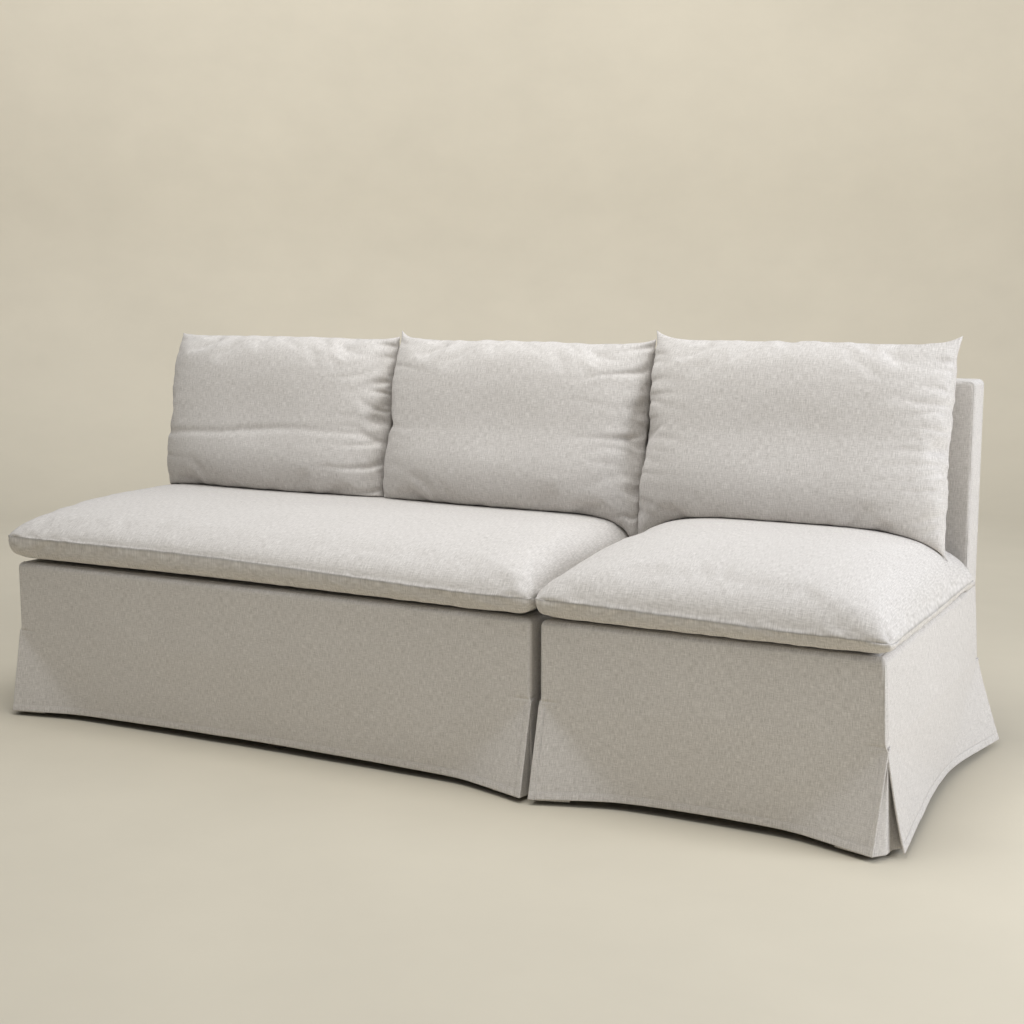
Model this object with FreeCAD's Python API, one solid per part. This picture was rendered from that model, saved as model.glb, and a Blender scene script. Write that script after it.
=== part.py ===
import FreeCAD
import Part
import math
import os

# Slipcovered dining banquette in two modules that stand side by side: a two-seat and a one-seat.
# Each module has a timber frame with webbing and pads, a loose cover that falls to the floor with
# a kick pleat at every corner, a loose seat cushion and loose knife-edge back cushions.
# Millimetres, +Z up, the front faces -Y, and the origin is on the floor under the middle of the set.

# Overall sizes over the cover
DOUBLE_WIDTH = 1412.0
SINGLE_WIDTH = 712.0
MODULE_GAP = 22.0
DEPTH = 800.0
BASE_HEIGHT = 378.0
BACK_HEIGHT = 846.0
BACK_THICKNESS = 100.0

# Loose cover
COVER = 2.0
EDGE_RADIUS = 14.0
SPLIT_HEIGHT = 193.0
HEM_HEIGHT = 12.0
HEM_RISE = 10.0
FLARE = 50.0
INNER_FLARE = 7.0
FLARE_RUN = 200.0
FLARE_FACETS = 4
PLEAT_RETURN = 80.0
PLEAT_HEM_DROP = 3.0
PLEAT_FLARE_SHARE = 0.36
FIT = 0.4

# Timber frame
BOARD = 25.0
RAIL_ABOVE_SPLIT = 7.0
POST_WIDTH = 48.0
POST_DEPTH = 58.0
FRAME_EASE = 8.0
LEG = 48.0
LEG_FOOT = 38.0
POST_FOOT_INSET = 8.0
LEG_BELOW_RAIL_TOP = 10.0
CENTRE_SUPPORT_SPAN = 1000.0
CENTRE_RAIL_HEIGHT = 110.0
CORNER_BLOCK_LEG = 60.0
CORNER_BLOCK_HEIGHT = 100.0
TACK_RAIL_ABOVE_BASE = 22.0
TACK_RAIL_HEIGHT = 50.0

# Glides under the legs
GLIDE_RADIUS = 14.0
GLIDE_HEIGHT = 6.0

# Webbing, interlaced in the seat and upright in the back
WEB_WIDTH = 60.0
WEB_THICKNESS = 1.5
WEB_WEAVE_GAP = 0.2
WEB_PITCH = 150.0
WEB_CROSS_COUNT = 4
WEB_END_MARGIN = 2.0
WEB_FLAT_MARGIN = 8.0
BACK_WEB_PITCH = 130.0

# Pads under the cover
DECK_PAD = 19.0
PAD_ON_WEB = 0.2

# Seat cushions
SEAT_OUTER_OVERHANG = 20.0
SEAT_JOINT_GAP = 0.8
SEAT_FRONT_OVERHANG = 20.0
SEAT_BACK_GAP = 1.0
SEAT_REST = 0.4
SEAT_SEAM_HEIGHT = 50.0
SEAT_CROWN_HEIGHT = 146.0
SEAT_FRONT_RUN = 70.0
SEAT_FRONT_DROP = 50.0
SEAT_END_RUN = 160.0
SEAT_END_DROP = 27.0
SEAT_BORDER_TUCK = 24.0
SEAT_BORDER_BULGE = 5.0
SEAT_SIDE_PULL = 7.0
SEAT_CORNER = 26.0
SEAT_CORE_INSET = 46.0
SEAT_CORE_FLOOR = 4.0
SEAT_CORE_WRAP = 66.0
SEAT_CORE_CLEARANCE = 0.4

# How much higher a cushion's lengthways crown is than its crossways crown, which is the one that shows
CROWN_SPREAD = 3.0

# How far a cushion's profiles run on past its seam, which leaves the seam a narrow band
SEAM_ALLOWANCE = 1.0

# Back cushions
PILLOW_OUTER_INSET = 22.0
PILLOW_FREE_INSET = 12.0
PILLOW_SIDE_GAP = 0.8
PILLOW_HEIGHT = 490.0
PILLOW_SINK = 61.6
PILLOW_HALF_THICKNESS = 105.0
PILLOW_SHOULDER_RUN = 70.0
PILLOW_SHOULDER_RISE = 75.0
PILLOW_SIDE_PULL = 5.0
PILLOW_EDGE_PULL = 12.0
PILLOW_CORNER = 10.0
PILLOW_LEAN = 12.0
PILLOW_PRESS = 6.0
PILLOW_REST = 0.5
PILLOW_CASE = 2.0
PILLOW_FILL_CLEARANCE = 0.4

RAIL_BOTTOM = SPLIT_HEIGHT + RAIL_ABOVE_SPLIT
WEB_STACK = WEB_THICKNESS * 1.5 + WEB_WEAVE_GAP / 2
RAIL_TOP = BASE_HEIGHT - COVER - FIT - DECK_PAD - PAD_ON_WEB - WEB_STACK
POST_TOP = BACK_HEIGHT - COVER - FIT - BOARD
FRONT = -DEPTH / 2
REAR = DEPTH / 2
INSIDE_BACK = REAR - BACK_THICKNESS
POST_FRONT = REAR - COVER - POST_DEPTH
CENTRE_POST_DEPTH = POST_DEPTH - BOARD
TOTAL_WIDTH = DOUBLE_WIDTH + MODULE_GAP + SINGLE_WIDTH
SEAT_INNER_OVERHANG = (MODULE_GAP - SEAT_JOINT_GAP) / 2
SEAT_TOP = BASE_HEIGHT + SEAT_REST + SEAT_CROWN_HEIGHT
DIAGONAL = math.sin(math.radians(45))
TOLERANCE = 0.001

Vec = FreeCAD.Vector
UP = Vec(0, 0, 1)


class Module:
    """One free-standing seat: where it stands and how its cover flares at each side."""

    def __init__(self, name, left, width, left_flare, right_flare):
        self.name = name
        self.left = left
        self.right = left + width
        self.width = width
        self.centre = left + width / 2
        self.left_flare = left_flare
        self.right_flare = right_flare
        self.has_centre_support = width > CENTRE_SUPPORT_SPAN


double = Module("double", -TOTAL_WIDTH / 2, DOUBLE_WIDTH, FLARE, INNER_FLARE)
single = Module("single", double.right + MODULE_GAP, SINGLE_WIDTH, INNER_FLARE, FLARE)


def box(x0, x1, y0, y1, z0, z1):
    return Part.makeBox(x1 - x0, y1 - y0, z1 - z0, Vec(x0, y0, z0))


def line(a, b):
    return Part.LineSegment(a, b).toShape()


def arc(a, middle, b):
    return Part.Arc(a, middle, b).toShape()


def prism(points, direction):
    closed = Part.makePolygon(points + [points[0]])
    return Part.Face(closed).extrude(direction)


def save(name, shape):
    solids = shape.Solids
    bad = [s for s in solids if not s.isValid() or s.Volume <= 0]
    if not solids or bad:
        raise ValueError(name + " has no valid solid")
    whole = solids[0] if len(solids) == 1 else Part.makeCompound(solids)
    whole.exportStep(os.path.join("parts", name + ".step"))
    print(name, len(solids), round(whole.Volume / 1000.0, 1), "cm3")


# Cover panels. A panel is drawn along +X from 0, with its outside towards -Y, and then stood in place.


def flare_offset(flare, distance_from_start):
    radius = (FLARE_RUN ** 2 + flare ** 2) / (2 * flare)
    return radius - math.sqrt(radius ** 2 - distance_from_start ** 2)


def skirt(length, flare):
    """The hanging part of a panel: flat in the middle, and at each end a fan of flat facets that opens
    from the top of the corner split down to the flared hem."""

    def hem_point(distance):
        return Vec(distance, -flare_offset(flare, FLARE_RUN - distance), HEM_HEIGHT)

    through = Vec(0, COVER, 0)
    split = Vec(0, 0, SPLIT_HEIGHT)
    far_split = Vec(length, 0, SPLIT_HEIGHT)
    start = Vec(FLARE_RUN, 0, HEM_HEIGHT)
    end = Vec(length - FLARE_RUN, 0, HEM_HEIGHT)
    top = Vec(length / 2, 0, HEM_HEIGHT + HEM_RISE)
    edges = [line(split, start), arc(start, top, end), line(end, far_split), line(far_split, split)]
    middle = Part.Face(Part.Wire(edges)).extrude(through)
    facets = []
    step = FLARE_RUN / FLARE_FACETS
    for i in range(FLARE_FACETS):
        facet = prism([split, hem_point(i * step), hem_point((i + 1) * step)], through)
        facets += [facet, mirrored(facet, length)]
    return middle.fuse(facets)


def rolled_panel(length):
    """The upright part of a panel, rolled over the edge of the deck at its top."""
    roll = EDGE_RADIUS
    inner = roll - COVER
    centre_z = BASE_HEIGHT - roll
    a = Vec(0, 0, SPLIT_HEIGHT)
    b = Vec(0, 0, centre_z)
    c = Vec(0, roll, BASE_HEIGHT)
    d = Vec(0, roll, BASE_HEIGHT - COVER)
    e = Vec(0, COVER, centre_z)
    f = Vec(0, COVER, SPLIT_HEIGHT)
    outer_mid = Vec(0, roll - roll * DIAGONAL, centre_z + roll * DIAGONAL)
    inner_mid = Vec(0, roll - inner * DIAGONAL, centre_z + inner * DIAGONAL)
    outline = Part.Wire(
        [line(a, b), arc(b, outer_mid, c), line(c, d), arc(d, inner_mid, e), line(e, f), line(f, a)]
    )
    return Part.Face(outline).extrude(Vec(length, 0, 0))


def mitre_wedge():
    """What a panel loses at its start, where its neighbour comes round the corner at 45 degrees."""
    size = 2 * EDGE_RADIUS
    points = [Vec(0, 0, 0), Vec(size, size, 0), Vec(-size, size, 0)]
    return prism(points, Vec(0, 0, 2 * BASE_HEIGHT))


def mirrored(shape, length):
    return shape.mirror(Vec(length / 2, 0, 0), Vec(1, 0, 0))


def placed(shape, turn, x, y):
    moved = shape.copy()
    moved.rotate(Vec(0, 0, 0), UP, turn)
    moved.translate(Vec(x, y, 0))
    return moved


def front_panel(module):
    length = module.width
    upper = rolled_panel(length).cut(mitre_wedge()).cut(mirrored(mitre_wedge(), length))
    panel = upper.fuse(skirt(length, FLARE)).removeSplitter()
    return placed(panel, 0, module.left, FRONT)


def side_panel(module, is_right):
    """Rolled over the deck in front of the back, upright beside the back, split at both corners."""
    seat_run = INSIDE_BACK - FRONT
    back_run = REAR - COVER - INSIDE_BACK
    flare = module.right_flare if is_right else module.left_flare
    hanging = skirt(DEPTH - 2 * COVER, flare)
    hanging.translate(Vec(COVER, 0, 0))
    rolled = rolled_panel(seat_run).cut(mitre_wedge())
    upright = box(seat_run, seat_run + back_run, 0, COVER, SPLIT_HEIGHT, BASE_HEIGHT)
    panel = rolled.fuse([upright, hanging]).removeSplitter()
    if is_right:
        return placed(panel, 90, module.right, FRONT)
    return placed(mirrored(panel, DEPTH), -90, module.left, REAR)


def back_outline(module, y, inset):
    """A plate over the whole back, with its two top corners rounded."""
    x0 = module.left + inset
    x1 = module.right - inset
    top = BACK_HEIGHT - inset
    radius = EDGE_RADIUS - inset
    bow = radius * (1 - DIAGONAL)
    left_mid = Vec(x0 + bow, y, top - bow)
    right_mid = Vec(x1 - bow, y, top - bow)
    return [
        line(Vec(x0, y, BASE_HEIGHT), Vec(x0, y, top - radius)),
        arc(Vec(x0, y, top - radius), left_mid, Vec(x0 + radius, y, top)),
        line(Vec(x0 + radius, y, top), Vec(x1 - radius, y, top)),
        arc(Vec(x1 - radius, y, top), right_mid, Vec(x1, y, top - radius)),
        line(Vec(x1, y, top - radius), Vec(x1, y, BASE_HEIGHT)),
    ]


def back_plate(module, y, inset, thickness):
    foot = line(Vec(module.right - inset, y, BASE_HEIGHT), Vec(module.left + inset, y, BASE_HEIGHT))
    outline = Part.Wire(back_outline(module, y, inset) + [foot])
    return Part.Face(outline).extrude(Vec(0, thickness, 0))


def outside_back_panel(module):
    skirt_part = placed(skirt(module.width, FLARE), 180, module.right, REAR)
    upright = box(module.left, module.right, REAR - COVER, REAR, SPLIT_HEIGHT, BASE_HEIGHT)
    return back_plate(module, REAR - COVER, 0, COVER).fuse([upright, skirt_part]).removeSplitter()


def back_boxing(module):
    """The strip that runs up one side of the back, over the top and down the other."""
    run = BACK_THICKNESS - 2 * COVER
    outer = back_plate(module, INSIDE_BACK + COVER, 0, run)
    return outer.cut(back_plate(module, INSIDE_BACK + COVER, COVER, run))


def deck_panel(module):
    return box(
        module.left + EDGE_RADIUS,
        module.right - EDGE_RADIUS,
        FRONT + EDGE_RADIUS,
        INSIDE_BACK + COVER,
        BASE_HEIGHT - COVER,
        BASE_HEIGHT,
    )


def pleat_underlay(x, y, x_out, y_out, side_flare):
    """The folded strip behind one corner split. x_out and y_out are the outward signs at that corner."""
    tuck = COVER + FIT
    top = SPLIT_HEIGHT
    hem = HEM_HEIGHT - PLEAT_HEM_DROP
    cx = x - x_out * tuck
    cy = y - y_out * tuck
    far_x = x - x_out * PLEAT_RETURN
    far_y = y - y_out * PLEAT_RETURN
    corner_top = Vec(cx, cy, top)
    kick = Vec(x_out * side_flare, y_out * FLARE, 0) * PLEAT_FLARE_SHARE
    corner_hem = Vec(cx, cy, hem) + kick
    pieces = []
    front_leg = (Vec(far_x, cy, 0), Vec(0, -y_out * COVER, 0))
    side_leg = (Vec(cx, far_y, 0), Vec(-x_out * COVER, 0, 0))
    for far, inward in (front_leg, side_leg):
        far_top = far + Vec(0, 0, top)
        far_hem = far + Vec(0, 0, hem)
        pieces.append(prism([corner_top, far_top, far_hem], inward))
        pieces.append(prism([corner_top, far_hem, corner_hem], inward))
    return pieces[0].fuse(pieces[1:]).removeSplitter()


def pleat_underlays(module):
    strips = []
    for x, x_out, flare in ((module.left, -1, module.left_flare), (module.right, 1, module.right_flare)):
        for y, y_out in ((FRONT, -1), (REAR, 1)):
            strips.append(pleat_underlay(x, y, x_out, y_out, flare))
    return Part.makeCompound(strips)


def save_cover(module):
    name = module.name
    save(name + "_cover_front", front_panel(module))
    save(name + "_cover_left_side", side_panel(module, False))
    save(name + "_cover_right_side", side_panel(module, True))
    save(name + "_cover_outside_back", outside_back_panel(module))
    save(name + "_cover_inside_back", back_plate(module, INSIDE_BACK, 0, COVER))
    save(name + "_cover_back_boxing", back_boxing(module))
    save(name + "_cover_deck", deck_panel(module))
    save(name + "_cover_pleat_underlays", pleat_underlays(module))


# Timber frame


def eased(shape, is_outer):
    """Takes off the sharp edges that the cover turns over, chosen by their boxes."""
    return shape.makeChamfer(FRAME_EASE, [e for e in shape.Edges if is_outer(e.BoundBox)])


def front_leg_places(module):
    """Left edge of each leg that stands against the front rail."""
    places = [module.left + COVER + BOARD, module.right - COVER - BOARD - LEG]
    if module.has_centre_support:
        places.append(module.centre + BOARD / 2)
    return places


def tapered_leg(upper, foot_x0, foot_x1, foot_y0, foot_y1):
    """A leg that is straight down to the rail's lower edge and tapers from there to its foot."""
    middle_x = (foot_x0 + foot_x1) / 2
    middle_y = (foot_y0 + foot_y1) / 2
    half = LEG_FOOT / 2
    lower = Part.makeWedge(
        middle_x - half,
        GLIDE_HEIGHT,
        -middle_y - half,
        -foot_y1,
        foot_x0,
        middle_x + half,
        RAIL_BOTTOM,
        -middle_y + half,
        -foot_y0,
        foot_x1,
    )
    lower.rotate(Vec(0, 0, 0), Vec(1, 0, 0), 90)
    return upper.fuse(lower).removeSplitter()


def square_leg(x, y):
    upper = box(x, x + LEG, y, y + LEG, RAIL_BOTTOM, RAIL_TOP - LEG_BELOW_RAIL_TOP)
    return tapered_leg(upper, x, x + LEG, y, y + LEG)


def front_legs(module):
    legs = [square_leg(x, FRONT + COVER + BOARD) for x in front_leg_places(module)]
    if module.has_centre_support:
        legs.append(square_leg(module.centre + BOARD / 2, POST_FRONT - LEG))
    return Part.makeCompound(legs)


def corner_post(module, is_right):
    outer = module.right - COVER if is_right else module.left + COVER
    inner = outer - POST_WIDTH if is_right else outer + POST_WIDTH
    foot_outer = outer - POST_FOOT_INSET if is_right else outer + POST_FOOT_INSET
    x0, x1 = sorted((outer, inner))
    foot_x0, foot_x1 = sorted((foot_outer, inner))
    rear = REAR - COVER
    upper = box(x0, x1, POST_FRONT, rear, RAIL_BOTTOM, POST_TOP)

    def is_outer(edge):
        upright = edge.XLength + edge.YLength < TOLERANCE
        return upright and abs(edge.XMin - outer) < TOLERANCE and rear - edge.YMin < TOLERANCE

    return tapered_leg(eased(upper, is_outer), foot_x0, foot_x1, POST_FRONT, rear - POST_FOOT_INSET)


def back_posts(module):
    posts = [corner_post(module, False), corner_post(module, True)]
    if module.has_centre_support:
        half = POST_WIDTH / 2
        rear = REAR - COVER
        x0 = module.centre - half
        x1 = module.centre + half
        posts.append(box(x0, x1, rear - CENTRE_POST_DEPTH, rear, RAIL_BOTTOM, POST_TOP))
    return Part.makeCompound(posts)


def leg_glides(module):
    """Low discs, one under each leg."""
    front_y = FRONT + COVER + BOARD + LEG / 2
    centres = [(x + LEG / 2, front_y) for x in front_leg_places(module)]
    post_shift = POST_FOOT_INSET + (POST_WIDTH - POST_FOOT_INSET) / 2
    post_y = POST_FRONT + (POST_DEPTH - POST_FOOT_INSET) / 2
    centres.append((module.left + COVER + post_shift, post_y))
    centres.append((module.right - COVER - post_shift, post_y))
    if module.has_centre_support:
        centres.append((module.centre + BOARD / 2 + LEG / 2, POST_FRONT - LEG / 2))
    discs = [Part.makeCylinder(GLIDE_RADIUS, GLIDE_HEIGHT, Vec(x, y, 0)) for x, y in centres]
    return Part.makeCompound(discs)


def front_rail(module):
    y0 = FRONT + COVER
    rail = box(module.left + COVER, module.right - COVER, y0, y0 + BOARD, RAIL_BOTTOM, RAIL_TOP)

    def is_outer(edge):
        return edge.XLength + edge.YLength < TOLERANCE and edge.YMax - y0 < TOLERANCE

    return eased(rail, is_outer)


def side_rail(module, is_right):
    outer = module.right - COVER if is_right else module.left + COVER
    inner = outer - BOARD if is_right else outer + BOARD
    x0, x1 = sorted((outer, inner))
    return box(x0, x1, FRONT + COVER + BOARD, POST_FRONT, RAIL_BOTTOM, RAIL_TOP)


def board_between_posts(module, z0, z1):
    x0 = module.left + COVER + POST_WIDTH
    x1 = module.right - COVER - POST_WIDTH
    return box(x0, x1, POST_FRONT, POST_FRONT + BOARD, z0, z1)


def centre_rail(module):
    x0 = module.centre - BOARD / 2
    top = RAIL_TOP - LEG_BELOW_RAIL_TOP
    return box(x0, x0 + BOARD, FRONT + COVER + BOARD, POST_FRONT, top - CENTRE_RAIL_HEIGHT, top)


def corner_blocks(module):
    """Three-cornered glue blocks between the side rails and the back rail."""
    blocks = []
    middle = (RAIL_BOTTOM + RAIL_TOP) / 2
    z0 = middle - CORNER_BLOCK_HEIGHT / 2
    reach = CORNER_BLOCK_LEG
    for x, inward in ((module.left + COVER + BOARD, 1), (module.right - COVER - BOARD, -1)):
        corner = Vec(x, POST_FRONT, z0)
        points = [corner, corner + Vec(inward * reach, 0, 0), corner + Vec(0, -reach, 0)]
        blocks.append(prism(points, Vec(0, 0, CORNER_BLOCK_HEIGHT)))
    return Part.makeCompound(blocks)


def rounded_top_board(module, y0, y1, z0, inset):
    """A board across the whole back whose top corners follow the inside of the boxing."""
    plate = back_plate(module, y0, inset, y1 - y0)
    keep = box(module.left, module.right, y0, y1, z0, BACK_HEIGHT)
    return plate.common(keep)


def back_top_rail(module):
    rear = REAR - COVER
    board = rounded_top_board(module, POST_FRONT, rear, POST_TOP, COVER + FIT)

    def is_outer(edge):
        return rear - edge.YMin < TOLERANCE and edge.ZMax - POST_TOP > TOLERANCE

    return eased(board, is_outer)


def save_frame(module):
    name = module.name
    tack_z = BASE_HEIGHT + TACK_RAIL_ABOVE_BASE
    save(name + "_front_rail", front_rail(module))
    save(name + "_back_rail", board_between_posts(module, RAIL_BOTTOM, RAIL_TOP))
    save(name + "_left_side_rail", side_rail(module, False))
    save(name + "_right_side_rail", side_rail(module, True))
    save(name + "_corner_blocks", corner_blocks(module))
    save(name + "_front_legs", front_legs(module))
    save(name + "_back_posts", back_posts(module))
    save(name + "_back_top_rail", back_top_rail(module))
    save(name + "_back_tack_rail", board_between_posts(module, tack_z, tack_z + TACK_RAIL_HEIGHT))
    save(name + "_leg_glides", leg_glides(module))
    if module.has_centre_support:
        save(name + "_centre_rail", centre_rail(module))


# Webbing and pads


def even_places(start, end, count):
    step = (end - start) / count
    return [start + step * (i + 0.5) for i in range(count)]


def long_strap_places(module):
    start = module.left + COVER + BOARD
    end = module.right - COVER - BOARD
    return even_places(start, end, round((end - start) / WEB_PITCH))


def cross_strap_places():
    return even_places(FRONT + COVER + BOARD, POST_FRONT, WEB_CROSS_COUNT)


def strap_outline(start, end, crossings, first_over):
    """Lower edge of a strap as (distance, height): level on the rails, then over and under in turn."""
    weave = (WEB_THICKNESS + WEB_WEAVE_GAP) / 2
    half = WEB_WIDTH / 2 + WEB_FLAT_MARGIN
    points = [(start, 0.0)]
    over = first_over
    edge = crossings[0] - start - half
    points.append((start + edge / 2, 0.0))
    for place in crossings:
        height = weave if over else -weave
        points += [(place - half, height), (place + half, height)]
        over = not over
    points.append((end - (end - crossings[-1] - half) / 2, 0.0))
    points.append((end, 0.0))
    return points


def strap(outline, point_at, width_vector):
    lower = [point_at(s, RAIL_TOP + h) for s, h in outline]
    upper = [point_at(s, RAIL_TOP + h + WEB_THICKNESS) for s, h in outline]
    return prism(lower + upper[::-1], width_vector)


def seat_webbing_long(module):
    straps = []
    start = FRONT + COVER + WEB_END_MARGIN
    end = POST_FRONT + BOARD - WEB_END_MARGIN
    for i, x in enumerate(long_strap_places(module)):
        outline = strap_outline(start, end, cross_strap_places(), i % 2 == 0)
        edge = x - WEB_WIDTH / 2
        straps.append(strap(outline, lambda s, z: Vec(edge, s, z), Vec(WEB_WIDTH, 0, 0)))
    return Part.makeCompound(straps)


def seat_webbing_cross(module):
    straps = []
    start = module.left + COVER + WEB_END_MARGIN
    end = module.right - COVER - WEB_END_MARGIN
    for j, y in enumerate(cross_strap_places()):
        outline = strap_outline(start, end, long_strap_places(module), j % 2 == 1)
        edge = y - WEB_WIDTH / 2
        straps.append(strap(outline, lambda s, z: Vec(s, edge, z), Vec(0, WEB_WIDTH, 0)))
    return Part.makeCompound(straps)


def back_webbing(module):
    start = module.left + COVER + POST_WIDTH
    end = module.right - COVER - POST_WIDTH
    z0 = BASE_HEIGHT + TACK_RAIL_ABOVE_BASE + WEB_END_MARGIN
    z1 = BACK_HEIGHT - COVER - FIT - EDGE_RADIUS
    y1 = POST_FRONT
    straps = []
    for x in even_places(start, end, round((end - start) / BACK_WEB_PITCH)):
        straps.append(box(x - WEB_WIDTH / 2, x + WEB_WIDTH / 2, y1 - WEB_THICKNESS, y1, z0, z1))
    return Part.makeCompound(straps)


def deck_pad(module):
    top = BASE_HEIGHT - COVER - FIT
    inset = COVER + FIT
    rear = POST_FRONT - WEB_THICKNESS
    pad = box(module.left + inset, module.right - inset, FRONT + inset, rear, top - DECK_PAD, top)
    rolled = []
    for edge in pad.Edges:
        at_top = all(abs(v.Z - top) < TOLERANCE for v in edge.Vertexes)
        at_rear = all(abs(v.Y - rear) < TOLERANCE for v in edge.Vertexes)
        if at_top and not at_rear:
            rolled.append(edge)
    return pad.makeFillet(EDGE_RADIUS - COVER, rolled)


def back_pad(module):
    y0 = INSIDE_BACK + COVER + FIT
    y1 = POST_FRONT - WEB_THICKNESS
    return rounded_top_board(module, y0, y1, BASE_HEIGHT, COVER + FIT)


def save_upholstery(module):
    name = module.name
    save(name + "_seat_webbing_long", seat_webbing_long(module))
    save(name + "_seat_webbing_cross", seat_webbing_cross(module))
    save(name + "_back_webbing", back_webbing(module))
    save(name + "_deck_pad", deck_pad(module))
    save(name + "_back_pad", back_pad(module))


# Cushions


def plan_outline(half_u, half_v, pull_u, pull_v, corner, point_at):
    """Four sides that draw in between their corners, and four rounded corners."""
    bow = corner * (1 - DIAGONAL)
    sides = [
        ((-half_u + corner, -half_v), (0, -half_v + pull_v), (half_u - corner, -half_v)),
        ((half_u, -half_v + corner), (half_u - pull_u, 0), (half_u, half_v - corner)),
        ((half_u - corner, half_v), (0, half_v - pull_v), (-half_u + corner, half_v)),
        ((-half_u, half_v - corner), (-half_u + pull_u, 0), (-half_u, -half_v + corner)),
    ]
    turns = [(half_u - bow, bow - half_v), (half_u - bow, half_v - bow), (bow - half_u, half_v - bow)]
    turns.append((bow - half_u, bow - half_v))
    edges = []
    for i, (start, middle, end) in enumerate(sides):
        following = sides[(i + 1) % 4][0]
        edges.append(arc(point_at(*start), point_at(*middle), point_at(*end)))
        edges.append(arc(point_at(*end), point_at(*turns[i]), point_at(*following)))
    return Part.Wire(edges)


def shoulder_middle(half, run, rise, crown):
    """Halfway point of the arc that rises from a seam and runs on smoothly into the crown's arc."""
    chord = half - run
    crown_radius = (chord ** 2 + (crown - rise) ** 2) / (2 * (crown - rise))
    normal = Vec(chord, rise - crown + crown_radius, 0).normalize()
    seam = Vec(half, 0, 0)
    join = Vec(chord, rise, 0)
    radius = (join - seam).Length ** 2 / (2 * (join - seam).dot(normal))
    centre = join - normal * radius
    towards = ((seam - centre) + (join - centre)).normalize()
    return centre + towards * radius


def crowned_edges(half, run, rise, crown, point_at):
    """From one seam over the crown to the other, as three arcs. point_at takes a distance and a height."""
    middle = shoulder_middle(half, run, rise, crown)
    chord = half - run
    return [
        arc(point_at(half, 0), point_at(middle.x, middle.y), point_at(chord, rise)),
        arc(point_at(chord, rise), point_at(0, crown), point_at(-chord, rise)),
        arc(point_at(-chord, rise), point_at(-middle.x, middle.y), point_at(-half, 0)),
    ]


def seat_profile(half, run, drop, crown, point_at):
    """A flat foot, a border that leans out to the seam, and the crowned top. Heights are from the seam."""
    foot = half - SEAT_BORDER_TUCK
    border = half - SEAT_BORDER_TUCK / 2 + SEAT_BORDER_BULGE
    low = -SEAT_SEAM_HEIGHT
    edges = crowned_edges(half, run, crown - drop, crown, point_at)
    edges.append(arc(point_at(-half, 0), point_at(-border, low / 2), point_at(-foot, low)))
    edges.append(line(point_at(-foot, low), point_at(foot, low)))
    edges.append(arc(point_at(foot, low), point_at(border, low / 2), point_at(half, 0)))
    return Part.Face(Part.Wire(edges))


def seat_cushion(x0, x1):
    """The shape common to a lengthways profile, a crossways profile and a plan with drawn-in sides."""
    y0 = FRONT - SEAT_FRONT_OVERHANG
    y1 = INSIDE_BACK - SEAT_BACK_GAP
    half_u = (x1 - x0) / 2
    half_v = (y1 - y0) / 2
    reach_u = half_u + SEAM_ALLOWANCE
    reach_v = half_v + SEAM_ALLOWANCE
    centre_x = (x0 + x1) / 2
    centre_y = (y0 + y1) / 2
    foot = BASE_HEIGHT + SEAT_REST
    seam = foot + SEAT_SEAM_HEIGHT
    crown = SEAT_CROWN_HEIGHT - SEAT_SEAM_HEIGHT
    side_view = seat_profile(
        reach_v,
        SEAT_FRONT_RUN,
        SEAT_FRONT_DROP,
        crown,
        lambda s, h: Vec(centre_x - reach_u, centre_y + s, seam + h),
    )
    front_view = seat_profile(
        reach_u,
        SEAT_END_RUN,
        SEAT_END_DROP,
        crown + CROWN_SPREAD,
        lambda s, h: Vec(centre_x + s, centre_y - reach_v, seam + h),
    )
    plan = plan_outline(
        half_u,
        half_v,
        SEAT_SIDE_PULL,
        SEAT_SIDE_PULL,
        SEAT_CORNER,
        lambda u, v: Vec(centre_x + u, centre_y + v, foot),
    )
    across = side_view.extrude(Vec(2 * reach_u, 0, 0))
    along = front_view.extrude(Vec(0, 2 * reach_v, 0))
    column = Part.Face(plan).extrude(Vec(0, 0, SEAT_CROWN_HEIGHT + CROWN_SPREAD))
    return across.common(along).common(column)


def seat_core(x0, x1, clearance):
    """The foam slab inside a seat cushion."""
    inset = SEAT_CORE_INSET + clearance
    floor = BASE_HEIGHT + SEAT_REST + SEAT_CORE_FLOOR
    return box(
        x0 + inset,
        x1 - inset,
        FRONT - SEAT_FRONT_OVERHANG + inset,
        INSIDE_BACK - SEAT_BACK_GAP - inset,
        floor + clearance,
        SEAT_TOP - SEAT_CORE_WRAP - clearance,
    )


def seat_cushion_ends(module):
    left = SEAT_OUTER_OVERHANG if module is double else SEAT_INNER_OVERHANG
    right = SEAT_INNER_OVERHANG if module is double else SEAT_OUTER_OVERHANG
    return module.left - left, module.right + right


def pillow_profile(half, depth, point_at):
    """A lens with a knife edge at each end."""
    run = PILLOW_SHOULDER_RUN
    rise = PILLOW_SHOULDER_RISE * depth / PILLOW_HALF_THICKNESS
    front = crowned_edges(half, run, rise, depth, point_at)
    back = crowned_edges(half, run, rise, depth, lambda s, h: point_at(-s, -h))
    return Part.Face(Part.Wire(front + back))


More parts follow.
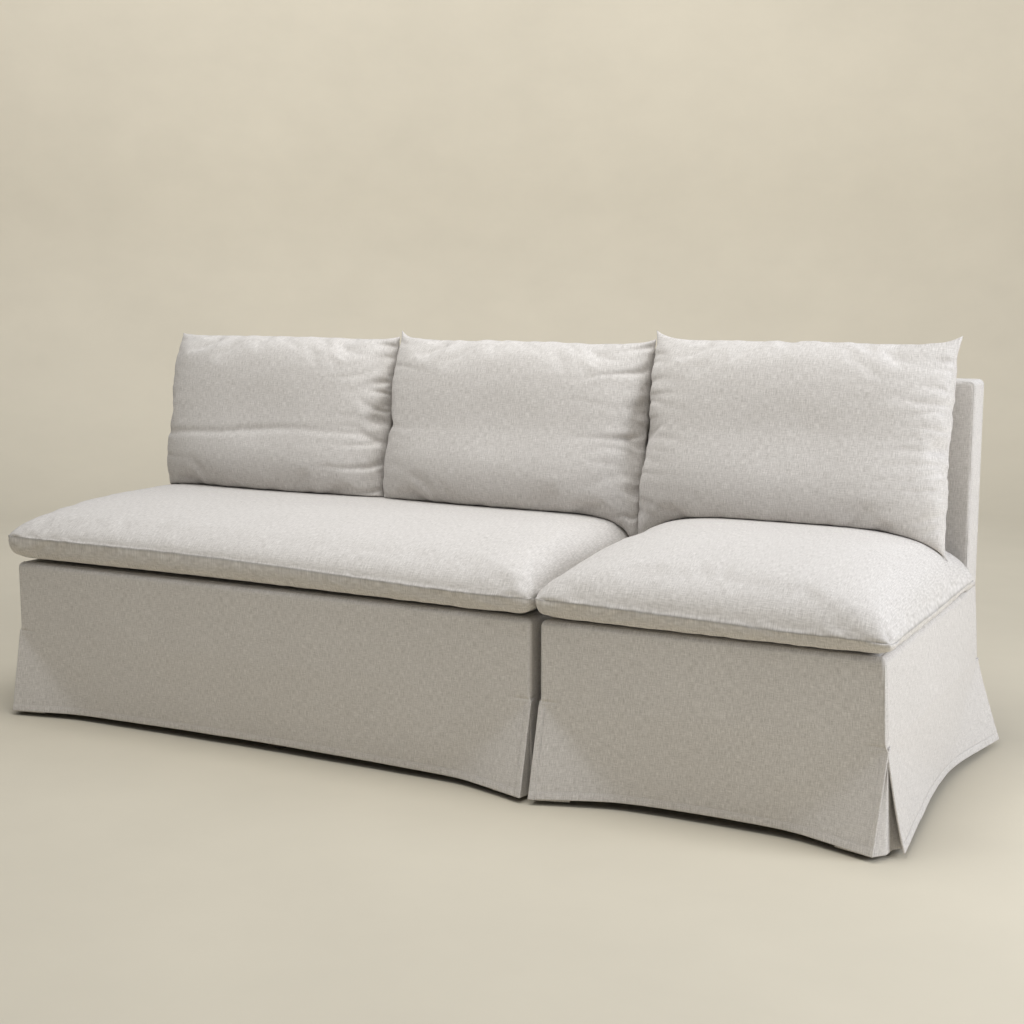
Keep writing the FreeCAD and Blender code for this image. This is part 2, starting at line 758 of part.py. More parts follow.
def pillow(x0, x1, shrink, seat):
    """A knife-edge cushion that leans on the back, cut flat where it presses on the back and the seat."""
    lean = math.radians(PILLOW_LEAN)
    rise = Vec(0, math.sin(lean), math.cos(lean))
    out = Vec(0, -math.cos(lean), math.sin(lean))
    along = Vec(1, 0, 0)
    half_u = (x1 - x0) / 2 - shrink
    half_v = PILLOW_HEIGHT / 2 - shrink
    reach_u = half_u + SEAM_ALLOWANCE
    reach_v = half_v + SEAM_ALLOWANCE
    depth = PILLOW_HALF_THICKNESS - shrink
    middle_y = INSIDE_BACK - PILLOW_HALF_THICKNESS / math.cos(lean) + PILLOW_PRESS
    middle_z = SEAT_TOP - PILLOW_SINK + PILLOW_HEIGHT / 2 * math.cos(lean)
    centre = Vec((x0 + x1) / 2, middle_y, middle_z)
    low = centre - rise * reach_v
    end = centre - along * reach_u
    behind = centre - out * (depth + CROWN_SPREAD)
    side_view = pillow_profile(reach_v, depth, lambda s, h: end + rise * s + out * h)
    top_view = pillow_profile(reach_u, depth + CROWN_SPREAD, lambda s, h: low + along * s + out * h)
    plan = plan_outline(
        half_u,
        half_v,
        PILLOW_SIDE_PULL,
        PILLOW_EDGE_PULL,
        PILLOW_CORNER,
        lambda u, v: behind + along * u + rise * v,
    )
    upright = side_view.extrude(along * (2 * reach_u))
    level = top_view.extrude(rise * (2 * reach_v))
    column = Part.Face(plan).extrude(out * (2 * (depth + CROWN_SPREAD)))
    whole = upright.common(level).common(column)
    clear = PILLOW_REST + shrink
    pressed_seat = seat.copy()
    pressed_seat.translate(Vec(0, 0, clear))
    pressed_back = box(x0 - clear, x1 + clear, INSIDE_BACK - clear, REAR, 0, 2 * BACK_HEIGHT)
    return whole.cut(pressed_seat).cut(pressed_back)


def save_seat_cushion(module):
    x0, x1 = seat_cushion_ends(module)
    name = module.name + "_seat_cushion"
    save(name + "_cover", seat_cushion(x0, x1).cut(seat_core(x0, x1, 0)))
    save(name + "_core", seat_core(x0, x1, SEAT_CORE_CLEARANCE))


def save_back_cushions():
    start = double.left + PILLOW_OUTER_INSET
    joint = double.right + MODULE_GAP / 2
    end = single.right - PILLOW_FREE_INSET
    middle = (start + joint) / 2
    for side, left, right, module in (
        ("left", start, middle, double),
        ("centre", middle, joint, double),
        ("right", joint, end, single),
    ):
        seat = seat_cushion(*seat_cushion_ends(module))
        x0 = left + PILLOW_SIDE_GAP / 2
        x1 = right - PILLOW_SIDE_GAP / 2
        inside = pillow(x0, x1, PILLOW_CASE, seat)
        save(side + "_back_cushion_cover", pillow(x0, x1, 0, seat).cut(inside))
        save(side + "_back_cushion_fill", pillow(x0, x1, PILLOW_CASE + PILLOW_FILL_CLEARANCE, seat))


def main():
    os.makedirs("parts", exist_ok=True)
    for module in (double, single):
        save_frame(module)
        save_upholstery(module)
        save_cover(module)
        save_seat_cushion(module)
    save_back_cushions()


main()
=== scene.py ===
import math

import bpy
import numpy as np
from mathutils import Matrix, Vector, noise
from mathutils.bvhtree import BVHTree


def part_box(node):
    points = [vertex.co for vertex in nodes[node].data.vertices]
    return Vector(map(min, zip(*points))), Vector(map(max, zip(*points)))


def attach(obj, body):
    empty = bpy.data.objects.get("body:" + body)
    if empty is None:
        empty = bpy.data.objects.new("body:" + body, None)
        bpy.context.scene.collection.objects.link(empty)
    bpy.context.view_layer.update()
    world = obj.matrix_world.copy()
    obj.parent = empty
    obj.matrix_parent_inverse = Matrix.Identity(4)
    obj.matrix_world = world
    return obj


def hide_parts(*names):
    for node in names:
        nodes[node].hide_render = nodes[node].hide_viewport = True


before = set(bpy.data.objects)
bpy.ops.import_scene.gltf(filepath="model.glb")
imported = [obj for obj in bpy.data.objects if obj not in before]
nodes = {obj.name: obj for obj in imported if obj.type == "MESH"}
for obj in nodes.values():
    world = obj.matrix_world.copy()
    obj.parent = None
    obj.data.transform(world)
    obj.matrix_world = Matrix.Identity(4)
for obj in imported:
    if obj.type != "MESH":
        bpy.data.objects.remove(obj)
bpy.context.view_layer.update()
scene = bpy.context.scene
print("frame loaded:", len(nodes), "nodes")


# camera, stage and light

shot = {
    "place": (1.794, -3.274, 1.084),   # where the photographer stood, metres
    "turn": 27.52,                     # degrees about Z
    "tilt": 81.46,                     # degrees up from straight down
    "lens": 56.37,                     # mm on a 36 mm sensor
}

studio = {
    "floorReach": 4.0,                 # flat floor round the origin
    "sweep": 1.5,                      # radius of the curve between floor and wall
    "wallHeight": 3.0,
    "sides": 64,                       # facets round the studio and up its curve
    "curveSteps": 12,
    "floor": (0.55, 0.505, 0.408),
    "wall": (0.705, 0.648, 0.532),
    "blendHeight": 0.9,                # the floor's tone turns into the wall's up to this height
    "cloud": 0.24,                     # how much the plaster's tone varies
    "cloudScales": (0.7, 3.2),         # broad and fine clouds, and their shares
    "cloudShares": (0.6, 0.4),
    "cloudStretch": (1.0, 1.0, 1.6),
    "rough": 0.95,
    "specular": 0.2,
    "floorFade": 0.035,                # paler away from the lights, per square metre
    "fadeLimit": 8.0,
    "wallBounce": 0.12,                # the wall gives little light back, so the shading stays clear
    "floorBounce": 1.2,
    "sky": (0.97, 0.98, 1.0),
    "skyStrength": 0.50,
    "softboxes": {                     # place, aim, size, power and colour
        "overhead": ((0.1, -0.62, 3.1), (0.0, 0.0, 0.4), (2.0, 2.0), 63, (1, 1, 1)),
        "fromRight": ((3.4, -0.1, 1.3), (0.9, 0.0, 0.4), (1.4, 1.4), 58, (0.96, 1.0, 1.09)),
        "frontFill": ((1.6, -3.7, 0.9), (0.1, -0.4, 0.25), (1.8, 1.0), 4.5, (1, 1, 1)),
        "wallWash": ((-1.2, 2.4, 3.9), (-2.2, 5.2, 1.0), (5.0, 1.0), 78, (1, 1, 1)),
    },
}


def addObject(name, data):
    thing = bpy.data.objects.new(name, data)
    scene.collection.objects.link(thing)
    return thing


def aimAt(thing, target):
    thing.rotation_mode = "QUATERNION"
    thing.rotation_quaternion = (Vector(target) - thing.location).to_track_quat("-Z", "Y")


def makeCamera():
    lens = bpy.data.cameras.new("photoView")
    lens.sensor_width = 36
    lens.lens = shot["lens"]
    cam = addObject("photoView", lens)
    cam.location = shot["place"]
    cam.rotation_euler = (math.radians(shot["tilt"]), 0, math.radians(shot["turn"]))
    scene.camera = cam


def makeLights():
    for name, (place, aim, size, power, colour) in studio["softboxes"].items():
        box = addObject(name, bpy.data.lights.new(name, "AREA"))
        box.location = place
        box.data.shape = "RECTANGLE"
        box.data.size, box.data.size_y = size
        box.data.energy = power
        box.data.color = colour
        box.visible_camera = False
        aimAt(box, aim)
    world = bpy.data.worlds.new("studioSky")
    world.use_nodes = True
    sky = world.node_tree.nodes["Background"]
    sky.inputs["Color"].default_value = (*studio["sky"], 1)
    sky.inputs["Strength"].default_value = studio["skyStrength"]
    scene.world = world
    scene.view_settings.view_transform = "Standard"


def makeStage(material):
    # a round studio: floor, a wide curve, then the wall
    radius = studio["sweep"]
    profile = [(0.0, 0.0), (studio["floorReach"], 0.0)]
    for step in range(1, studio["curveSteps"] + 1):
        angle = math.radians(90 * step / studio["curveSteps"])
        profile.append((studio["floorReach"] + radius * math.sin(angle), radius - radius * math.cos(angle)))
    profile.append((studio["floorReach"] + radius, studio["wallHeight"]))
    around = studio["sides"]
    points = [(0, 0, 0)]
    for reach, z in profile[1:]:
        for k in range(around):
            angle = 2 * math.pi * k / around
            points.append((reach * math.cos(angle), reach * math.sin(angle), z))
    faces = [(0, 1 + k, 1 + (k + 1) % around) for k in range(around)]
    for ring in range(len(profile) - 2):
        first = 1 + ring * around
        for k in range(around):
            after = (k + 1) % around
            faces.append((first + k, first + around + k, first + around + after, first + after))
    mesh = bpy.data.meshes.new("studioSweep")
    mesh.from_pydata(points, [], faces)
    mesh.polygons.foreach_set("use_smooth", [True] * len(faces))
    mesh.materials.append(material)
    addObject("studioSweep", mesh)


# shader groups and materials

def newMaterial(name):
    material = bpy.data.materials.new(name)
    material.use_nodes = True
    tree = material.node_tree
    return material, tree, tree.nodes["Principled BSDF"]


def feed(tree, node, values):
    # each input gets a link from another node, or a value
    for key, value in values.items():
        if isinstance(value, bpy.types.NodeSocket):
            tree.links.new(value, node.inputs[key])
        else:
            node.inputs[key].default_value = value


def addNode(tree, kind, values=None, **settings):
    node = tree.nodes.new(kind)
    for key, value in settings.items():
        setattr(node, key, value)
    feed(tree, node, values or {})
    return node


def mathNode(tree, operation, *values):
    return addNode(tree, "ShaderNodeMath", dict(enumerate(values)), operation=operation).outputs[0]


def weightedSum(tree, first, firstShare, second, secondShare):
    rest = mathNode(tree, "MULTIPLY", second, secondShare)
    return mathNode(tree, "MULTIPLY_ADD", first, firstShare, rest)


def centred(tree, value, size):
    # a noise about zero, times size
    return mathNode(tree, "MULTIPLY", mathNode(tree, "SUBTRACT", value, 0.5), size)


def stretched(tree, vector, scale):
    return addNode(tree, "ShaderNodeVectorMath", {0: vector, 1: scale}, operation="MULTIPLY").outputs[0]


def scaledColour(tree, colour, scale):
    return addNode(tree, "ShaderNodeVectorMath", {0: colour, "Scale": scale}, operation="SCALE").outputs[0]


def noiseOf(tree, vector, scale, detail=2.0, rough=0.5):
    values = {"Vector": vector, "Scale": scale, "Detail": detail, "Roughness": rough}
    return addNode(tree, "ShaderNodeTexNoise", values).outputs["Fac"]


def objectPlace(tree):
    return addNode(tree, "ShaderNodeTexCoord").outputs["Object"]


def newGroup(name, inputs, outputs, kind="ShaderNodeTree"):
    tree = bpy.data.node_groups.new(name, kind)
    for label, socket in inputs:
        tree.interface.new_socket(label, in_out="INPUT", socket_type=socket)
    for label, socket in outputs:
        tree.interface.new_socket(label, in_out="OUTPUT", socket_type=socket)
    return tree, tree.nodes.new("NodeGroupInput"), tree.nodes.new("NodeGroupOutput")


plainWeave = {
    "across": 640,          # noise across a thread and along it, per metre
    "along": 62,
    "warp": 1.15,           # how much each set of threads shows
    "weft": 0.85,
    "speckScale": 430.0,
    "speck": 0.5,
    "cloudScale": 6.0,
    "cloud": 0.12,
    "relief": 0.6,          # height of the crossings
}


def makeWeaveGroup():
    # two sets of uneven threads crossing: a tone for the colour and a height for the bump
    tree, given, made = newGroup(
        "plainWeave",
        [("Cloth", "NodeSocketVector"), ("Pitch", "NodeSocketFloat"), ("Slub", "NodeSocketFloat")],
        [("Tone", "NodeSocketFloat"), ("Height", "NodeSocketFloat")],
    )
    look = plainWeave
    cloth = given.outputs["Cloth"]
    warp = noiseOf(tree, stretched(tree, cloth, (look["across"], look["along"], 1)), 1.0)
    weft = noiseOf(tree, stretched(tree, cloth, (look["along"], look["across"], 1)), 1.0)
    threads = weightedSum(tree, warp, look["warp"], weft, look["weft"])
    slubs = mathNode(tree, "SUBTRACT", threads, 1.0)
    specks = centred(tree, noiseOf(tree, cloth, look["speckScale"]), look["speck"])
    clouds = centred(tree, noiseOf(tree, cloth, look["cloudScale"], detail=3.0), look["cloud"])
    uneven = mathNode(tree, "MULTIPLY", mathNode(tree, "ADD", slubs, specks), given.outputs["Slub"])
    tone = mathNode(tree, "ADD", mathNode(tree, "ADD", uneven, clouds), 0.5)
    parts = addNode(tree, "ShaderNodeSeparateXYZ", {0: cloth}).outputs
    turn = mathNode(tree, "DIVIDE", math.pi, given.outputs["Pitch"])
    waves = [mathNode(tree, "SINE", mathNode(tree, "MULTIPLY", parts[axis], turn)) for axis in "XY"]
    crossing = mathNode(tree, "MAXIMUM", *[mathNode(tree, "ABSOLUTE", wave) for wave in waves])
    height = mathNode(tree, "MULTIPLY_ADD", crossing, look["relief"], slubs)
    feed(tree, made, {"Tone": tone, "Height": height})
    return tree


timber = {
    "along": 1.2,           # grain per metre along a board and across it
    "across": 16,
    "rings": 1.6,           # scale of the growth rings, and bands in each
    "bands": 7.0,
    "pores": 14.0,
    "rough": 0.5,
    "roughSpread": 0.25,
    "bump": 0.3,
    "depth": 0.0008,
    "bare": ((0.50, 0.33, 0.18), (0.66, 0.48, 0.29)),
    # the front legs' near-black colour is painted shade: what shows of them under the hem reads as the shadow
    # there
    "paintedShade": ((0.030, 0.021, 0.015), (0.075, 0.052, 0.036)),
}


def makeGrainGroup():
    tree, given, made = newGroup(
        "timberGrain",
        [("Place", "NodeSocketVector"), ("Stretch", "NodeSocketVector")],
        [("Grain", "NodeSocketFloat"), ("Pore", "NodeSocketFloat")],
    )
    along = stretched(tree, given.outputs["Place"], given.outputs["Stretch"])
    ring = noiseOf(tree, along, timber["rings"], detail=4.0, rough=0.6)
    bands = mathNode(tree, "PINGPONG", mathNode(tree, "MULTIPLY", ring, timber["bands"]), 1.0)
    feed(tree, made, {"Grain": bands, "Pore": noiseOf(tree, along, timber["pores"])})
    return tree


weaveGroup = makeWeaveGroup()
grainGroup = makeGrainGroup()


def blendColours(tree, mask, first, second):
    values = {"Factor": mask, 6: (*first, 1), 7: (*second, 1)}   # 6 and 7 are this node's colours
    return addNode(tree, "ShaderNodeMix", values, data_type="RGBA").outputs[2]


def bumpInto(tree, shader, height, strength, distance):
    bump = addNode(tree, "ShaderNodeBump", {"Strength": strength, "Distance": distance, "Height": height})
    feed(tree, shader, {"Normal": bump.outputs["Normal"]})


def wovenMaterial(name, look, mapped):
    material, tree, shader = newMaterial(name)
    place = addNode(tree, "ShaderNodeUVMap", uv_map="weave").outputs["UV"] if mapped else objectPlace(tree)
    values = {"Cloth": place, "Pitch": look["pitch"], "Slub": look["slub"]}
    weave = addNode(tree, "ShaderNodeGroup", node_tree=weaveGroup)
    feed(tree, weave, values)
    tone = weave.outputs["Tone"]
    # painted shade: where a piece carries the seam attribute, the cloth's colour is darkened, standing in for
    # the shadow in the seam
    seamShadeMask = addNode(tree, "ShaderNodeAttribute", attribute_name="paintedSeamShade").outputs["Fac"]
    lit = mathNode(tree, "MULTIPLY_ADD", seamShadeMask, -look["paintedSeamShade"], 1.0)
    colour = blendColours(tree, tone, look["dark"], look["light"])
    feed(tree, shader, {
        "Base Color": scaledColour(tree, colour, lit),
        "Roughness": mathNode(tree, "MULTIPLY_ADD", tone, clothFinish["roughSpread"], clothFinish["rough"]),
        "Specular IOR Level": clothFinish["specular"],
        "Sheen Weight": look["sheen"],
        "Sheen Roughness": clothFinish["sheenRough"],
    })
    bumpInto(tree, shader, weave.outputs["Height"], look["bump"], look["depth"])
    return material


clothFinish = {"rough": 0.82, "roughSpread": 0.12, "specular": 0.2, "sheenRough": 0.5}
linen = {
    "dark": (0.40, 0.375, 0.345),
    "light": (0.755, 0.725, 0.69),
    "pitch": 0.0011,
    "slub": 1.05,
    "paintedSeamShade": 0.34,      # how much the painted shade darkens the cloth along a seam, standing in for the seam's shadow
    "sheen": 0.10,
    "bump": 0.3,
    "depth": 0.0005,
}
jute = {
    "dark": (0.24, 0.165, 0.09),
    "light": (0.55, 0.42, 0.27),
    "pitch": 0.0024,
    "slub": 1.0,
    "paintedSeamShade": 0.0,
    "sheen": 0.05,
    "bump": 0.6,
    "depth": 0.0012,
}


def timberMaterial(name, axis, finish):
    material, tree, shader = newMaterial(name)
    stretch = [timber["along" if a == axis else "across"] for a in "XYZ"]
    grain = addNode(tree, "ShaderNodeGroup", node_tree=grainGroup)
    feed(tree, grain, {"Place": objectPlace(tree), "Stretch": stretch})
    pore = grain.outputs["Pore"]
    feed(tree, shader, {
        "Base Color": blendColours(tree, grain.outputs["Grain"], *timber[finish]),
        "Roughness": mathNode(tree, "MULTIPLY_ADD", pore, timber["roughSpread"], timber["rough"]),
    })
    bumpInto(tree, shader, pore, timber["bump"], timber["depth"])
    return material


def mottledMaterial(name, first, second, scale, roughness, depth):
    material, tree, shader = newMaterial(name)
    mottle = noiseOf(tree, objectPlace(tree), scale, detail=4.0, rough=0.6)
    feed(tree, shader, {"Base Color": blendColours(tree, mottle, first, second), "Roughness": roughness})
    bumpInto(tree, shader, mottle, strength=0.4, distance=depth)
    return material


def plasterMaterial(name):
    # cloudy plaster, from the floor's tone to the wall's
    material, tree, shader = newMaterial(name)
    place = objectPlace(tree)
    parts = addNode(tree, "ShaderNodeSeparateXYZ", {0: place}).outputs
    broadScale, fineScale = studio["cloudScales"]
    broadShare, fineShare = studio["cloudShares"]
    flattened = stretched(tree, place, studio["cloudStretch"])
    broad = noiseOf(tree, place, broadScale, detail=3.0, rough=0.55)
    fine = noiseOf(tree, flattened, fineScale, detail=5.0, rough=0.62)
    cloud = weightedSum(tree, broad, broadShare, fine, fineShare)
    values = {"From Max": studio["blendHeight"], "Value": parts["Z"]}
    climb = addNode(tree, "ShaderNodeMapRange", values, interpolation_type="SMOOTHSTEP").outputs["Result"]
    colour = blendColours(tree, climb, studio["floor"], studio["wall"])
    squares = [mathNode(tree, "POWER", parts[axis], 2) for axis in "XY"]
    away = mathNode(tree, "MINIMUM", mathNode(tree, "ADD", *squares), studio["fadeLimit"])
    flat = mathNode(tree, "SUBTRACT", 1.0, climb)
    paler = mathNode(tree, "MULTIPLY", mathNode(tree, "MULTIPLY", away, studio["floorFade"]), flat)
    mottle = mathNode(tree, "MULTIPLY_ADD", cloud, studio["cloud"], 1 - studio["cloud"] / 2)
    tone = mathNode(tree, "ADD", mottle, paler)
    seen = addNode(tree, "ShaderNodeLightPath").outputs["Is Camera Ray"]
    onFloor, onWall = studio["floorBounce"], studio["wallBounce"]
    given = mathNode(tree, "MULTIPLY_ADD", climb, onWall - onFloor, onFloor)
    share = mathNode(tree, "MULTIPLY_ADD", mathNode(tree, "SUBTRACT", 1.0, seen), given, seen)
    feed(tree, shader, {
        "Base Color": scaledColour(tree, colour, mathNode(tree, "MULTIPLY", tone, share)),
        "Roughness": studio["rough"],
        "Specular IOR Level": studio["specular"],
    })
    behind = addNode(tree, "ShaderNodeNewGeometry").outputs["Backfacing"]
    clear = addNode(tree, "ShaderNodeBsdfTransparent").outputs[0]
    # a camera outside the studio looks through the wall
    values = {"Fac": mathNode(tree, "MULTIPLY", seen, behind), 1: shader.outputs[0], 2: clear}
    through = addNode(tree, "ShaderNodeMixShader", values).outputs[0]
    feed(tree, tree.nodes["Material Output"], {"Surface": through})
    return material


plaster = plasterMaterial("studioPlaster")
linenMaterial = wovenMaterial("washedLinen", linen, True)
juteMaterial = wovenMaterial("juteWebbing", jute, False)
mottles = {                 # two colours, scale of the mottling, roughness and depth
    "fibreWadding": ((0.72, 0.70, 0.64), (0.86, 0.84, 0.79), 160.0, 0.95, 0.002),
    "glidePlastic": ((0.018, 0.018, 0.018), (0.035, 0.035, 0.034), 900.0, 0.45, 0.0002),
    "sewingThread": ((0.58, 0.55, 0.515), (0.74, 0.715, 0.68), 700.0, 0.7, 0.0003),
}
mottled = [mottledMaterial(name, *look) for name, look in mottles.items()]
waddingMaterial, glideMaterial, threadMaterial = mottled
boards = [timberMaterial("timberAlong" + axis, axis, "bare") for axis in "XYZ"]
timberAlongX, timberAlongY, timberAlongZ = boards
# the front legs get painted shade for a colour, so that they read as the shadow under the hem
paintedShadeLeg = timberMaterial("paintedShadeLeg", "Z", "paintedShade")
print("materials ready")

makeCamera()
makeLights()
makeStage(plaster)
print("camera, light and stage ready")


# meshes

def clothMesh(name, points, faces, flat):
    mesh = bpy.data.meshes.new(name)
    mesh.from_pydata(points, [], faces)
    layer = mesh.uv_layers.new(name="weave")
    for loop in mesh.loops:
        layer.data[loop.index].uv = flat[loop.vertex_index]
    mesh.polygons.foreach_set("use_smooth", [True] * len(mesh.polygons))
    mesh.materials.append(linenMaterial)
    return mesh


def gridMesh(name, columns, rows, place, weave):
    # columns and rows are distances; place gives a point and weave a position on the flat cloth
    wide = len(columns)
    points = [place(c, r) for r in rows for c in columns]
    faces = []
    for j in range(len(rows) - 1):
        for i in range(wide - 1):
            first = j * wide + i
            faces.append((first, first + 1, first + 1 + wide, first + wide))
    flat = [weave(c, r) for r in rows for c in columns]
    return clothMesh(name, points, faces, flat)


def spread(start, end, step, fineStart=(), fineEnd=(), extra=()):
    # distances from start to end, with extra ones close to either end
    count = max(2, round((end - start) / step))
    values = {round(start + (end - start) * i / count, 6) for i in range(count + 1)}
    values |= {round(start + f, 6) for f in fineStart}
    values |= {round(end - f, 6) for f in fineEnd}
    values |= {round(e, 6) for e in extra}
    return sorted(values)


def smoothStep(value, low, high):
    t = min(max((value - low) / (high - low), 0.0), 1.0)
    return t * t * (3 - 2 * t)


def noiseAt(x, y, z):
    return noise.noise(Vector((x, y, z)))


def ripple(x, y, seed, size):
    return noiseAt(x / size, y / size, seed)


def bell(value, width):
    # 1 at zero, falling away on both sides
    return math.exp(-(value / width) ** 2)


def fading(distance, run):
    return math.exp(-distance / run)


def alongCloth(u, row):
    return (u, row)


def makeSheet(seat, part, columns, rows, place, weave=alongCloth):
    node = seat.name + "_cover_" + part
    piece = addObject(node + "_cloth", gridMesh(node, columns, rows, place, weave))
    finishSheet(piece, seat.body, node)


def finishSheet(piece, body, node):
    skin = piece.modifiers.new("thickness", "SOLIDIFY")
    skin.thickness = cover["thickness"]
    skin.offset = -1
    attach(piece, body)
    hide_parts(node)


# loose cover

cover = {
    "thickness": 0.0018,
    "grid": 0.009,          # mesh spacing
    "corner": 0.009,        # radius of the upright corner seams
    "roll": 0.013,          # radius of the roll onto the deck
    "backEdge": 0.008,      # radius of the edges round the back
    "backCorner": 0.013,    # radius of its two top corners
    "split": 0.208,         # top of the corner splits
    "hem": 0.012,           # hem above the floor
    "hemRise": 0.007,       # how much higher the hem is in the middle of a panel
    "hemDraw": 0.007,       # how far the hem hangs back in the middle of a front or back panel
    "hemFold": 0.016,       # depth of the turned-up hem
    "hemGroove": (0.0009, 0.0018),     # its stitching draws the cloth in: depth and width
    "hemDouble": 0.0007,    # and it stands out where it is double
    "hemStep": (0.001, 0.003),
    "splitTuck": (0.0016, 0.0028),     # short tuck at the top of each split: depth and width
    "tuckStart": (0.0, 0.006),         # where it begins and ends, from the corner
    "tuckStop": (0.018, 0.050),
    "splitSeam": (0.010, 0.012),       # the corner seam closes from below to above the top of the split
    "seamSlant": 0.35,      # slant of the cloth behind a closed seam
    "foldRadius": 0.0022,   # turned edges at a split
    "foldReach": 0.013,
    "slack": 0.0012,
    "waves": (0.16, 0.06),  # broad and small waves in the cloth
    "smallShare": 0.5,
    "waveHold": 0.04,       # they die out this close to a closed corner
    "waveLeast": 0.35,      # and are smaller above the splits
    "plateWave": 0.2,       # waves on the upright back
    "plateHold": 0.05,
    "rollBlend": 0.016,     # how quickly the roll ends beside the back
    "backBlend": 0.030,     # how quickly a back panel turns into the upright back
    "cadEdge": 0.014,       # the deck starts one edge radius behind the front
    "cadCloth": 0.002,
}
clothGrid = {               # closer mesh lines at edges, seams and folds
    "panelEnds": (0.0015, 0.003, 0.005, 0.007, 0.010, 0.013),
    "turnSteps": 5,
    "turnLine": 0.005,
    "hem": (0.0, 0.002, 0.006, 0.011, 0.0145, 0.016, 0.0175, 0.020),
    "split": 0.002,
    "rollSteps": 6,
    "backTop": (0.002, 0.004, 0.006),
    "plateEnds": (0.002, 0.0035, 0.005, 0.007, 0.010),
    "boxing": (0.002, 0.003, 0.0045, 0.006, 0.0075, 0.0095, 0.0115, 0.013, 0.0145, 0.0165),
    "boxingSteps": 8,
}
flares = {                  # how a panel kicks out near a split: size, run along the hem and curve
    "face": (0.051, 0.168, 1.0),
    "leftFace": (0.036, 0.168, 1.0),
    "rightFront": (0.034, 0.430, 1.0),
    "leftFront": (0.014, 0.430, 1.0),
    "outerRear": (0.045, 0.320, 1.7),
    "inner": (0.007, 0.200, 1.0),
    "rightStand": 0.015,    # an outer side stands off all along its hem
    "leftStand": 0.011,
    "outerSplay": 0.036,    # and its rear edge leans back
    "rightLean": 0.011,     # the right end also widens from the deck down to the splits
    "crease": 0.12,         # softness of the fold where a kick begins
    "standCurve": 1.4,
    "splayRun": 0.16,
    "leanRun": 0.35,
    "most": 1.1,            # the hem may drop a little past its line
}
pleat = {
    "reach": 0.080,         # cloth hidden behind each panel
    "fold": 0.075,          # cloth in the fold between them
    "tuck": 0.0078,         # how far behind
    "drop": 0.003,          # lower than the panels' hem
    "kick": 0.38,           # share of the panels' kick that the fold follows
    "sideKick": 0.45,       # share of the side's kick beside the side panel
    "slot": 0.012,          # how deep the fold goes in beside the side panel
    "least": 0.06,          # share of the kick at the top of the split
    "faceStops": (0.080, 0.055, 0.030, 0.012, 0.002),    # distances from the corner, behind the face panel
    "sideStops": (0.035, 0.055, 0.080),                  # and behind the side
    "shares": (0.0, 0.10, 0.20, 0.28, 0.33, 0.52, 0.68, 0.82, 0.90, 1.0),   # each stop's place on the strip
    "soften": (-0.022, -0.011, 0.0, 0.011, 0.022),       # a short average softens the folds
    "softenWeight": 0.45,
    "cells": (0.0045, 0.012),
}


class Seat:
    pass


def readSeat(name, leftOuter, rightOuter, seed):
    seat = Seat()
    low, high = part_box(name + "_cover_inside_back")
    seat.name, seat.seed = name, seed
    seat.body = name + "_module"
    seat.left, seat.right = low.x, high.x
    seat.insideBack = low.y
    seat.baseTop, seat.backTop = low.z, high.z
    seat.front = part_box(name + "_cover_deck")[0].y - cover["cadEdge"]
    seat.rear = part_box(name + "_cover_back_boxing")[1].y + cover["cadCloth"]
    seat.leftOuter, seat.rightOuter = leftOuter, rightOuter
    return seat


doubleSeat = readSeat("double", True, False, 3.0)
singleSeat = readSeat("single", False, True, 31.0)
seats = (doubleSeat, singleSeat)


def flareAt(flare, distance):
    # outward kick of the hem at a distance from the split
    size, run, curve = flare
    soft = flares["crease"]
    whole = soft * math.log1p(math.exp(1 / soft))
    part = soft * math.log1p(math.exp((1 - distance / run) / soft)) if distance < 3 * run else 0.0
    return size * (part / whole) ** curve


class Panel:
    # one upright panel: where it starts, which way it runs and which way it faces; pairs are for its two ends
    def __init__(self, start, along, out, length, flare, seed):
        self.start, self.along, self.out = Vector(start), Vector(along), Vector(out)
        self.length, self.seed = length, seed
        self.flare = [flare, flare]
        self.splay, self.wider = [0.0, 0.0], [0.0, 0.0]
        self.stand = self.draw = self.lean = 0.0


def dropAt(height):
    # 0 at the top of the splits, 1 at the hem
    return min(max((cover["split"] - height) / (cover["split"] - cover["hem"]), 0.0), flares["most"])


def leanAt(height):
    # 0 at the deck and at the hem, 1 at the top of the splits
    if height < cover["split"]:
        return 1 - min(dropAt(height), 1.0)
    return max(0.0, (doubleSeat.baseTop - height) / (doubleSeat.baseTop - cover["split"]))


def arch(panel, u):
    # 0 at both ends of a panel, 1 in its middle
    return math.sin(math.pi * min(max(u / panel.length, 0), 1))


def hangingOffset(panel, u, height):
    # cone-shaped kicks that open from the top of each split, and a hem that hangs back in the middle
    drop = dropAt(height)
    near = min(u, panel.length - u)
    offset = panel.lean * leanAt(height)
    if drop > 0:
        offset += panel.stand * drop ** flares["standCurve"]
        for distance, flare in zip((u, panel.length - u), panel.flare):
            offset += drop * flareAt(flare, max(distance, 0.0) / drop)
        offset -= panel.draw * drop * arch(panel, u) ** 2
    broad, small = cover["waves"]
    wave = ripple(u, height, panel.seed, broad)
    wave += cover["smallShare"] * ripple(u, height, panel.seed + 9, small)
    joined = smoothStep(near, 0.0, cover["waveHold"]) if drop == 0 else 1.0
    return offset + cover["slack"] * wave * joined * (cover["waveLeast"] + drop)


def hemmedHeight(panel, u, rise):
    # the lowest rows follow the hem, the others are level
    lift = cover["hemRise"] * arch(panel, u)
    return cover["hem"] + rise + lift * (1 - smoothStep(rise, 0.0, cover["split"] - cover["hem"]))


